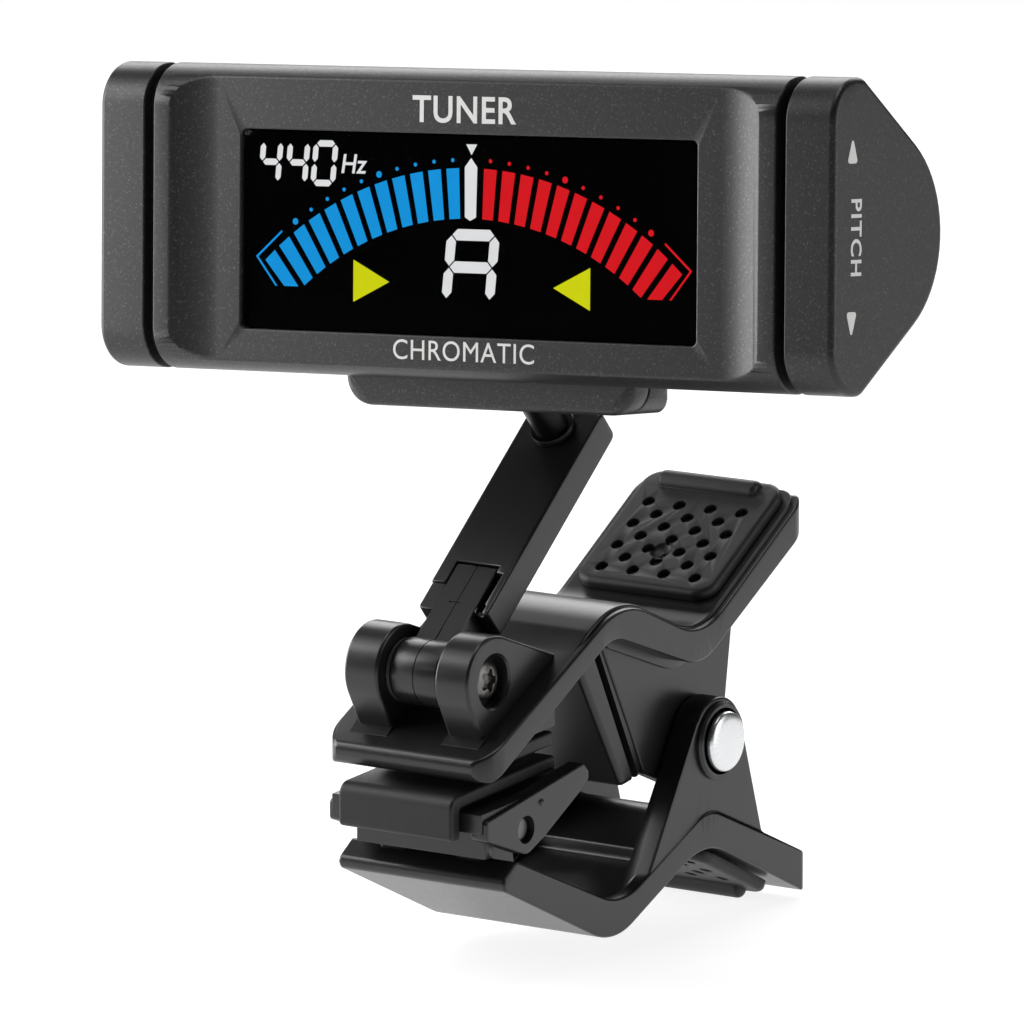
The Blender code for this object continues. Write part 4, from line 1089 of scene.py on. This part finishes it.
def make_ears():
    """The two hinge ears, each with a slanted foot in front of it."""
    points = ear_outline()
    ears = both_sides(lambda s: soften(slab(points, EAR_IN, EAR_OUT, s), 0.28, 4, 50))
    top = UPPER_WALL(-2.6)
    foot = [(-2.55, top - 0.3), (-2.55, top + 0.06), (-1.35, top + 0.95), (-0.9, top + 0.2)]
    feet = both_sides(lambda s: slab([Vector(p) for p in foot], EAR_IN - 0.1, EAR_OUT + 0.25, s))
    return ears + feet


def make_upper_lever():
    side = prism(upper_border(), -CLIP_HALF - 1, CLIP_HALF + 1)
    border = soften(keep(side, plan(UPPER_FRONT_Y, REAR_Y, CLIP_HALF)), 0.22, 3, 40)
    skin_half = CLIP_HALF - SKIN_INSET
    skin = keep(
        prism(upper_skin(), -skin_half - 1, skin_half + 1),
        plan(UPPER_FRONT_Y, REAR_Y - SKIN_INSET, skin_half, 2.5, 1.7),
    )
    soften(skin, 0.16, 3, 40)
    cheeks, web, strips, holder = make_cheeks(), make_cross_wall(), make_strips(), make_pad_holder()
    lever = join(border, skin, web, *cheeks, *strips, holder, *make_ears())
    rim = COUNTERBORE_R + 0.18
    counterbore = [(0, 2.2), (rim, 2.2), (rim, 0.2), (COUNTERBORE_R, 0)]
    counterbore += [(COUNTERBORE_R, -COUNTERBORE), (0, -COUNTERBORE)]
    lever = cut(
        lever,
        cylinder(PIN_R + 0.03, (-14, *PIVOT), (14, *PIVOT)),
        cylinder(SCREW_R + 0.05, (-8, 0, 0), (8, 0, 0), 32),
        turned_x(counterbore, EAR_OUT - 0.18),
        cylinder(2.4, (-EAR_OUT - 1, 0, 0), (-EAR_OUT + 1.5, 0, 0), 6),
    )
    finish_piece("upper_lever_body", lever, CLIP, "upper_lever", PLASTIC, ["upper_lever"])


def web_outline():
    """A web of the lower lever: round the pin, with straight edges down to the plate."""
    front, rear = (17.1, -22.4), (36.1, LOWER_THUMB_TOP(36.1) - 1.0)
    start = tangent_angle(rear, PIVOT, PIVOT_BOSS_R, 1)
    end = tangent_angle(front, PIVOT, PIVOT_BOSS_R, -1) + 360
    crest = crossing(LOWER_RISE_TOP, LOWER_THUMB_TOP)
    foot = [Vector(front), Vector((crest[0], crest[1] - 2.0)), Vector(rear)]
    return arc(PIVOT, PIVOT_BOSS_R, start, end, 48) + foot


def pocket_floor(y):
    return LOWER_JAW_UNDER(y) + POCKET_FLOOR


def make_pocket():
    """What is cut from the lower lever between its jaw and its webs."""
    start, end = LOWER_FRONT_Y + 3.9, 21.8

    def rise(y):
        return LOWER_RISE_UNDER(y) + POCKET_FLOOR

    outline = [
        (start, 0.0, 0),
        (start, pocket_floor(start), 0.5),
        (*crossing(pocket_floor, rise), 5.0),
        (end, rise(end), 0.5),
        (end, 0.0, 0),
    ]
    return prism(rounded(outline), -CLIP_HALF + POCKET_WALL, CLIP_HALF - POCKET_WALL)


def make_boss_rings():
    """The low rims round the pin's ends."""
    outer, inner = PIVOT_BOSS_R - 0.35, PIVOT_BOSS_R - 0.55
    ring = [(0, BOSS_RIM), (inner, BOSS_RIM), (outer, BOSS_RIM - 0.2), (outer, -1), (0, -1)]
    right = turned_x(ring, CLIP_HALF, PIVOT)
    left = moved(turned_x(ring, CLIP_HALF, PIVOT), Matrix.Scale(-1, 4, (1, 0, 0)))
    bmesh.ops.reverse_faces(left, faces=left.faces)
    return [right, left]


def make_rocker_ears():
    """The two ears in the pocket that carry the rocker's pin."""
    y = ROCKER_AXIS[0]
    feet = [Vector((y + 3.0, pocket_floor(y + 3.0) - 0.6)), Vector((y - 2.5, pocket_floor(y - 2.5) - 0.6))]
    start = tangent_angle(feet[0], ROCKER_AXIS, ROCKER_EAR_R, 1)
    end = tangent_angle(feet[1], ROCKER_AXIS, ROCKER_EAR_R, -1) + 360
    ear = arc(ROCKER_AXIS, ROCKER_EAR_R, start, end, 24) + [feet[1], feet[0]]
    return both_sides(lambda s: soften(slab(ear, 2.6, 5.0, s), 0.15, 2, 50))


def make_lower_lever():
    front = LOWER_FRONT_Y
    corners = [
        (front + 2.6, LOWER_JAW_TOP(front + 2.6), 0.5),
        (*crossing(LOWER_JAW_TOP, LOWER_RISE_TOP), 7.0),
        (*crossing(LOWER_RISE_TOP, LOWER_THUMB_TOP), 4.0),
        (REAR_Y, LOWER_THUMB_TOP(REAR_Y), 0.5),
        (REAR_Y, LOWER_THUMB_UNDER(REAR_Y), 0.5),
        (*crossing(LOWER_RISE_UNDER, LOWER_THUMB_UNDER), 7.0),
        (*crossing(LOWER_JAW_UNDER, LOWER_RISE_UNDER), 6.5),
        (front, LOWER_JAW_UNDER(front), 0.7),
    ]
    side = prism(rounded(corners, 4), -CLIP_HALF - 1, CLIP_HALF + 1)
    body = cut(keep(side, plan(front, REAR_Y, CLIP_HALF, 1.0, 1.0)), make_pocket())
    webs = both_sides(lambda s: slab(web_outline(), CLIP_HALF - WEB_T, CLIP_HALF - 0.06, s))
    body = join(body, *webs, *make_boss_rings(), *make_rocker_ears())
    head_r = PIN_HEAD_R + 0.28
    head_seat = [(0, 2), (head_r, 2), (head_r, -0.28), (0, -0.28)]
    body = cut(
        body,
        cylinder(PIN_R + 0.07, (-14, *PIVOT), (14, *PIVOT)),
        turned_x(head_seat, CLIP_HALF + BOSS_RIM, PIVOT),
        cylinder(0.93, (-6, *ROCKER_AXIS), (6, *ROCKER_AXIS), 32),
    )
    pivot, rocker_axis = Vector(PIVOT), Vector(ROCKER_AXIS)

    def clear_of_bores(place):
        from_pivot = (place.yz - pivot).length
        from_rocker = (place.yz - rocker_axis).length
        return from_pivot > PIVOT_BOSS_R - 0.2 and from_rocker > ROCKER_EAR_R + 1

    soften(body, 0.2, 3, 38, clear_of_bores)
    finish_piece("lower_lever_body", body, CLIP, "lower_lever", PLASTIC, ["lower_lever"])


def grip_place(edge, middle_y, under):
    """The frame of a grip that lies on a straight edge, or under it."""
    angle = math.atan(edge(1.0) - edge(0.0))
    turn = Matrix.Rotation(angle, 4, "X")
    if under:
        turn = turn @ Matrix.Rotation(math.pi, 4, "Y")
    return CLIP @ Matrix.Translation((0, middle_y, edge(middle_y))) @ turn


def grip_holes(half, rows):
    """Rows of small holes, every second row shifted by half a step, clear of the dimple."""
    places = []
    for row in range(rows):
        y = -half + HOLE_EDGE + ROW_STEP * row
        count = 3 if row % 2 else 4
        places += [((k - (count - 1) / 2) * HOLE_STEP, y) for k in range(count)]
    return [p for p in places if math.hypot(p[0] - DIMPLE[0], p[1] + half - DIMPLE[1]) > DIMPLE_CLEAR]


def make_grip(name, place, body, length, rows):
    """A rubber pad with holes through its face, one dimple and a cross rib."""
    half = length / 2
    pad = prism(rectangle(GRIP_HALF, half, 1.8), GAP, GRIP_T, "Z")
    soften(pad, 0.55, 5, 60, lambda p: p.z > GRIP_T - 0.1)
    rib_y = half - 1.35
    rib = cylinder(0.85, (-4.9, rib_y, GRIP_T), (4.9, rib_y, GRIP_T), 32)
    soften(rib, 0.5, 5, 60)
    pad = join(pad, rib)
    low, high = GRIP_T - 0.6, GRIP_T + 0.5
    holes = [cylinder(HOLE_R, (x, y, low), (x, y, high), 20) for x, y in grip_holes(half, rows)]
    x, y = DIMPLE[0], DIMPLE[1] - half
    bowl_place = Matrix.Translation((x, y, GRIP_T)) @ Matrix.Diagonal((0.95, 0.95, 0.5, 1))
    pad = cut(pad, *holes, moved(ball(1.0, (0, 0, 0)), bowl_place))
    pip = ball(0.28, (x + 0.1, y - 0.2, GRIP_T - 0.46))
    pad = join(pad, pip)
    soften(pad, 0.08, 2, 50)
    finish_piece(f"{name}_rubber", pad, place, body, RUBBER, [name])


def make_thumb_grips():
    upper = grip_place(UPPER_THUMB, UPPER_GRIP_Y, False)
    lower = grip_place(LOWER_THUMB_UNDER, LOWER_GRIP_Y, True)
    make_grip("upper_thumb_grip", upper, "upper_lever", UPPER_GRIP_LENGTH, 7)
    make_grip("lower_thumb_grip", lower, "lower_lever", LOWER_GRIP_LENGTH, 5)


WIRE_R = 0.5
COIL_R = 2.75
COIL_HALF = 2.9
COIL_TURNS = 4.5
COIL_STEPS = 160


def spring_wire(points):
    """A round wire along points."""
    curve = bpy.data.curves.new("wire", "CURVE")
    curve.dimensions = "3D"
    curve.bevel_depth = WIRE_R
    curve.bevel_resolution = 4
    curve.use_fill_caps = True
    spline = curve.splines.new("POLY")
    spline.points.add(len(points) - 1)
    for point, place in zip(spline.points, points):
        point.co = (*place, 1)
    shape = evaluated(curve)
    bmesh.ops.remove_doubles(shape, verts=shape.verts, dist=1e-4)
    bmesh.ops.recalc_face_normals(shape, faces=shape.faces)
    return shape


def make_torsion_spring():
    """The coil and its upper leg ride with the upper lever, its lower leg with the lower one."""
    y, z = PIVOT
    top = (36.0, UPPER_THUMB_UNDER(36.0) - WIRE_R - GAP - 0.1)
    low = (37.0, LOWER_THUMB_TOP(37.0) + WIRE_R + GAP + 0.2)
    start = math.radians(tangent_angle(top, PIVOT, COIL_R, 1))
    end = math.radians(tangent_angle(low, PIVOT, COIL_R, -1)) + 2 * math.pi * COIL_TURNS
    coil = []
    for k in range(COIL_STEPS + 1):
        share = k / COIL_STEPS
        angle = start + (end - start) * share
        across = COIL_HALF * (2 * share - 1)
        coil.append((across, y + COIL_R * math.cos(angle), z + COIL_R * math.sin(angle)))
    upper = spring_wire([(-COIL_HALF, *top), *coil])
    lower = spring_wire([coil[-1], (COIL_HALF, *low)])
    finish_piece("spring_coil", upper, CLIP, "upper_lever", SPRING, ["torsion_spring"])
    finish_piece("spring_leg", lower, CLIP, "lower_lever", SPRING, [])


def make_pivot_pin():
    """The pin, its low domed head on the right."""
    face = CLIP_HALF + BOSS_RIM + 0.1
    top = face + PIN_HEAD_T
    dome = []
    for angle in (0, 15, 30, 45, 60):
        drop = 0.28 * (1 - math.cos(math.radians(angle * 0.9)))
        dome.append((PIN_HEAD_R * math.sin(math.radians(angle)), top - drop))
    profile = dome + [
        (PIN_HEAD_R - 0.1, top - 0.24),
        (PIN_HEAD_R - 0.02, top - 0.34),
        (PIN_HEAD_R, top - 0.45),
        (PIN_HEAD_R, face),
        (PIN_R, face),
        (PIN_R, -face - 0.4),
        (0, -face - 0.4),
    ]
    pin = turned_x(profile, 0, PIVOT, 96)
    finish_piece("pivot_pin_turned", pin, CLIP, "upper_lever", SILVER, ["pivot_pin"])


def make_pivot_cap():
    """The cap pressed on the pin's left end."""
    face = -CLIP_HALF - BOSS_RIM - 0.1
    outer = face - PIN_HEAD_T - 0.35
    profile = [
        (PIN_R + 0.06, face),
        (PIN_HEAD_R, face),
        (PIN_HEAD_R, outer + 0.5),
        (PIN_HEAD_R - 0.06, outer + 0.34),
        (PIN_HEAD_R - 0.22, outer + 0.2),
        (PIN_HEAD_R * 0.6, outer + 0.06),
        (0, outer),
        (0, outer + 0.6),
        (PIN_R + 0.06, outer + 0.6),
    ]
    cap = turned_x(profile, 0, PIVOT, 96)
    finish_piece("pivot_cap_pressed", cap, CLIP, "upper_lever", SILVER, ["pivot_cap"])


def make_upper_jaw_pad():
    y0, y1 = UPPER_PAD_ENDS
    face = UPPER_PAD_FACE
    corners = [
        (y0, face(y0), 0.4),
        (y1, face(y1), 0.4),
        (y1, face(y1) + PAD_T, 0),
        (y0 + 0.6, face(y0 + 0.6) + PAD_T, 0),
        (y0, face(y0) + 0.7, 0),
    ]
    pad = soften(prism(rounded(corners), -PAD_HALF, PAD_HALF), 0.25, 3, 50)
    finish_piece("upper_jaw_rubber", pad, CLIP, "upper_lever", RUBBER, ["upper_jaw_pad"])


def rocker_seat(y):
    """The rocker's deck, under its pad."""
    return ROCKER_PAD_FACE(y) - PAD_T - GAP


def make_rocker():
    """The pad carrier: a deck with a front lip, two cheeks, a front wall and a keel."""
    y, z = ROCKER_AXIS
    seat, lip, rear = rocker_seat, ROCKER_FRONT_Y + 1.6, ROCKER_REAR_Y
    deck = [
        (lip, seat(lip)),
        (lip, -11.8),
        (lip + 1.2, -11.8),
        (lip + 1.8, seat(lip + 1.8) - 0.9),
        (rear, seat(rear) - 0.9),
        (rear, seat(rear)),
    ]
    rocker = soften(prism([Vector(p) for p in deck], -7.4, 7.4), 0.12, 2)
    cheek = [
        (-3.4, -10.7, 0.4),
        (-3.4, -12.3, 0.4),
        (2.2, -14.4, 1.4),
        (4.7, -13.3, 1.0),
        (9.5, -10.6, 0.3),
        (10.9, -9.6, 0.4),
        (10.9, -8.9, 0.4),
        (10.2, -8.2, 0.3),
    ]
    cheeks = both_sides(lambda s: soften(slab(rounded(cheek), 6.2, 7.8, s), 0.16, 3, 50))
    front_wall = soften(box((-6.4, -1.6, -14.3), (6.4, -0.6, seat(-1.6) - 0.3)), 0.15, 2)
    keel = soften(box((-2.3, 4.2, -13.4), (2.3, 5.2, seat(4.2) - 0.3)), 0.15, 2)
    rocker = join(rocker, *cheeks, front_wall, keel)
    recesses = both_sides(lambda s: cylinder(1.15, (7.1 * s, y, z), (8.6 * s, y, z), 36))
    rocker = cut(rocker, cylinder(0.97, (-9, y, z), (9, y, z), 32), *recesses)
    pips = both_sides(lambda s: ball(0.34, (7.68 * s, 4.15, -10.36)))
    rocker = join(rocker, *pips)
    finish_piece("rocker_body", rocker, CLIP, "jaw_rocker", ROCKER_PLASTIC, ["jaw_rocker"])


def make_rocker_pad():
    """The rubber that covers the deck and wraps its front."""
    front, rear, wrap = ROCKER_FRONT_Y, ROCKER_REAR_Y - 1, ROCKER_FRONT_Y + 1.3
    outline = [
        (front, ROCKER_PAD_FACE(front), 1.1),
        (front, -12.3, 0.4),
        (wrap, -12.3, 0.3),
        (wrap, rocker_seat(wrap) + GAP, 0.2),
        (rear, rocker_seat(rear) + GAP, 0),
        (rear, ROCKER_PAD_FACE(rear), 0.4),
    ]
    pad = soften(prism(rounded(outline), -PAD_HALF, PAD_HALF), 0.3, 4, 50)
    finish_piece("rocker_rubber", pad, CLIP, "jaw_rocker", RUBBER, ["rocker_pad"])


def make_rocker_pin():
    pin = soften(cylinder(0.9, (-7.3, *ROCKER_AXIS), (7.3, *ROCKER_AXIS), 36), 0.12, 2, 60)
    finish_piece("rocker_pin_turned", pin, CLIP, "lower_lever", DARK_STEEL, ["rocker_pin"])


# ---------------------------------------------------------------- arm


def make_arm():
    """The flat bar, its foot slotted for the knuckle's tongue."""
    foot, front = ARM_FOOT, ARM_FRONT
    arm = box((-ARM_HALF, foot, ARM_BACK), (ARM_HALF, ARM_LENGTH, front))
    soften(arm, 1.1, 6, 60, lambda p: p.y > ARM_LENGTH - 0.01 and abs(p.x) > ARM_HALF - 0.01)
    soften(arm, 0.3, 3, 60)
    slot, window, side = TONGUE_HALF + 0.35, TONGUE_HALF + 0.12, TONGUE_HALF
    arm = cut(
        arm,
        box((-slot, foot - 1, ARM_BACK + 0.55), (slot, TONGUE_END + GAP, front - 0.55)),
        box((-window, foot - 1, 0), (window, foot + 4.9, front + 1)),
        box((side, foot + 0.5, front - 0.9), (side + 0.75, foot + 4.2, front + 1)),
        box((side + 0.3, foot - 1, front - 0.5), (ARM_HALF - 0.6, foot + 0.9, front + 1)),
        box((-ARM_HALF - 1, foot - 1, front - 0.35), (-side, foot + 2.6, front + 1)),
        cylinder(1.06, (0, STUD_AT, ARM_BACK - 1), (0, STUD_AT, front + 1), 32),
    )
    soften(arm, 0.08, 2, 60)
    finish_piece("arm_body", arm, ARM, "arm", PLASTIC, ["arm"])


def make_knuckle():
    """The hinge barrel with the tongue that goes up into the arm, and its fine mould lines."""
    half = EAR_IN - 0.5
    low, high = ARM_BACK + 0.7, ARM_FRONT - 0.7
    front = ARM_FRONT - 0.08
    knuckle = soften(cylinder(BARREL_R, (-half, 0, 0), (half, 0, 0), 64), 0.25, 3, 60)
    tongue = box((-TONGUE_HALF, 0, low), (TONGUE_HALF, TONGUE_END, high))
    raised = box((-TONGUE_HALF, 0.4, low + 0.4), (TONGUE_HALF, ARM_FOOT + 4.7, front))
    root = box((-half + 0.3, 0, -BARREL_R + 0.2), (half - 0.3, 2.9, front))
    soften(raised, 0.14, 3, 60)
    soften(root, 0.4, 4, 60)
    line_cut = box((-0.04, 2.4, ARM_FRONT - 0.13), (0.04, 11.5, ARM_FRONT + 1))
    cross_cut = box((-0.75, 5.9, ARM_FRONT - 0.16), (0.35, 6.06, ARM_FRONT + 1))
    inner = cylinder(BARREL_R - 0.06, (-1, 0, 0), (1, 0, 0), 64)
    ring_cut = cut(cylinder(BARREL_R + 1, (-0.05, 0, 0), (0.05, 0, 0), 64), inner)
    bore = cylinder(SCREW_R + 0.07, (-4, 0, 0), (4, 0, 0), 32)
    knuckle = cut(join(knuckle, tongue, raised, root), cross_cut)
    knuckle = cut(knuckle, line_cut, ring_cut, bore)
    finish_piece("knuckle_body", knuckle, ARM, "arm", PLASTIC, ["arm_knuckle"])


def make_hinge_screw():
    """A low domed head with a six-lobed recess, and its shank."""
    seat = EAR_OUT - COUNTERBORE + 0.05
    profile = [
        (0, seat + 0.6),
        (0.8, seat + 0.58),
        (1.2, seat + 0.5),
        (1.45, seat + 0.38),
        (SCREW_HEAD_R, seat + 0.22),
        (SCREW_HEAD_R, seat),
        (SCREW_R, seat),
        (SCREW_R, -EAR_OUT + 0.4),
        (0, -EAR_OUT + 0.4),
    ]
    star = []
    for k in range(72):
        angle = 2 * math.pi * k / 72
        radius = 0.82 + 0.2 * math.cos(5 * angle)
        star.append(Vector((radius * math.cos(angle), radius * math.sin(angle))))
    screw = cut(turned_x(profile, 0), prism(star, seat + 0.05, seat + 2))
    soften(screw, 0.04, 2, 50, lambda p: p.x > seat)
    finish_piece("hinge_screw_head", screw, CLIP, "upper_lever", DARK_STEEL, ["hinge_screw"])


def make_ball_stud():
    neck = math.degrees(math.asin(NECK_R / BALL_R))
    face = -STUD_LENGTH + 0.05
    back = -STUD_LENGTH - (ARM_FRONT - ARM_BACK)
    profile = round_profile(BALL_R, range(0, int(180 - neck), 5)) + [
        (NECK_R, -BALL_R * math.cos(math.radians(neck)) - 0.1),
        (NECK_R, -BALL_R - 0.9),
        (1.5, -BALL_R - 2.2),
        (1.5, face + 0.7),
        (1.86, face + 0.66),
        (1.9, face + 0.6),
        (1.9, face),
        (1.0, face),
        (1.0, back - 0.8),
        (0.9, back - 0.9),
        (0, back - 0.9),
    ]
    stud = turned(profile)
    finish_piece("ball_stud_turned", stud, BALL_FRAME, "ball_stud", BLACKED, ["ball_stud"])


def make_socket_liner():
    """The nylon cup round the ball, open below for the neck."""
    mouth = 135
    outside = round_profile(LINER_OUT, range(0, mouth + 1, 5))
    inside = round_profile(BALL_R + 0.06, range(mouth, -1, -5))
    liner = turned(outside + inside)
    finish_piece("socket_liner_moulded", liner, BALL_FRAME, "socket_liner", NYLON, ["socket_liner"])


# ---------------------------------------------------------------- carried-over nodes

CARRIED = {
    "display_window": GLASS,
    "lcd_panel": LCD,
    "circuit_board": BOARD,
    "processor_chip": CHIP,
    "piezo_disc": BRASS,
    "battery_cell": CELL,
    "battery_spring_contact": CONTACT,
    "battery_plate_contact": CONTACT,
    "power_switch": CHIP,
    "calibration_switch": CHIP,
    "hinge_nut": DARK_STEEL,
    "hinge_washer_left": NYLON,
    "hinge_washer_right": NYLON,
    "stud_clip": SPRING,
}
CARRIED |= {f"case_screw_{n}": DARK_STEEL for n in (1, 2, 3, 4)}


def dress_nodes():
    for name, material in CARRIED.items():
        for slot in frame["nodes"][name].material_slots:
            slot.material = material


# ---------------------------------------------------------------- studio


def aim(obj, place, target):
    obj.location = place
    obj.rotation_euler = (Vector(target) - Vector(place)).to_track_quat("-Z", "Y").to_euler()


def soft_light(name, place, size, power):
    light = bpy.data.lights.new(name, "AREA")
    light.shape = "RECTANGLE"
    light.size, light.size_y = size
    light.energy = power
    obj = bpy.data.objects.new(name, light)
    bpy.context.scene.collection.objects.link(obj)
    aim(obj, place, (0, 0.01, 0.03))


def make_floor():
    """A plain pale floor, which glows a little so that it stays pale under soft light."""
    shape = bmesh.new()
    bmesh.ops.create_grid(shape, x_segments=1, y_segments=1, size=6.0)
    bmesh.ops.translate(shape, vec=(0, 0, CAD_BOX[0][2] - 0.0002), verts=shape.verts)
    floor = bpy.data.objects.new("floor", mesh_of(shape, "floor"))
    bpy.context.scene.collection.objects.link(floor)
    pale = bpy.data.materials.new("pale_floor")
    pale.use_nodes = True
    shader = pale.node_tree.nodes["Principled BSDF"]
    shader.inputs["Base Color"].default_value = (0.35, 0.35, 0.35, 1)
    shader.inputs["Emission Color"].default_value = (1, 1, 1, 1)
    shader.inputs["Emission Strength"].default_value = 0.85
    shader.inputs["Roughness"].default_value = 0.9
    shader.inputs["Specular IOR Level"].default_value = 0.1
    floor.data.materials.append(pale)


def make_world():
    """White behind the object, and next to no light from it."""
    world = bpy.data.worlds.new("studio")
    bpy.context.scene.world = world
    world.use_nodes = True
    tree = world.node_tree
    background = tree.nodes["Background"]
    background.inputs["Color"].default_value = (1, 1, 1, 1)
    path = tree.nodes.new("ShaderNodeLightPath")
    strength = tree.nodes.new("ShaderNodeMapRange")
    strength.inputs["To Min"].default_value = 0.01
    strength.inputs["To Max"].default_value = 1.0
    tree.links.new(path.outputs["Is Camera Ray"], strength.inputs["Value"])
    tree.links.new(strength.outputs["Result"], background.inputs["Strength"])


def make_studio():
    bpy.context.scene.view_settings.view_transform = "Standard"
    make_floor()
    make_world()
    soft_light("left_softbox", (-0.150, -0.055, 0.065), (0.11, 0.16), 0.34)
    soft_light("left_top_softbox", (-0.17, -0.13, 0.25), (0.16, 0.16), 0.12)
    soft_light("top_softbox", (-0.02, -0.01, 0.42), (0.30, 0.16), 0.5)
    soft_light("right_softbox", (0.42, 0.17, 0.09), (0.30, 0.40), 0.75)
    soft_light("back_softbox", (-0.22, 0.42, 0.32), (0.60, 0.30), 2.2)


CAMERA_PLACE = Vector((0.47341, -0.66444, 0.17179))
CAMERA_AZIMUTH = 35.1
CAMERA_ELEVATION = 10.5
LENS = 363.9


def make_camera():
    camera = bpy.data.cameras.new("camera")
    camera.lens = LENS
    camera.sensor_width = 36.0
    camera.clip_start = 0.01
    obj = bpy.data.objects.new("camera", camera)
    bpy.context.scene.collection.objects.link(obj)
    obj.location = CAMERA_PLACE
    obj.rotation_euler = (math.radians(90 - CAMERA_ELEVATION), 0, math.radians(CAMERA_AZIMUTH))
    bpy.context.scene.camera = obj


make_camera()
make_front_case()
make_rear_case()
make_battery_door()
make_end_cap("power", "power_shuttle", -1)
make_end_cap("calibration", "calibration_shuttle", 1)
make_meter()
make_figures()
make_case_print()
make_cap_print()
make_upper_lever()
make_lower_lever()
make_thumb_grips()
make_torsion_spring()
make_pivot_pin()
make_pivot_cap()
make_upper_jaw_pad()
make_rocker()
make_rocker_pad()
make_rocker_pin()
make_arm()
make_knuckle()
make_hinge_screw()
make_ball_stud()
make_socket_liner()
dress_nodes()
make_studio()
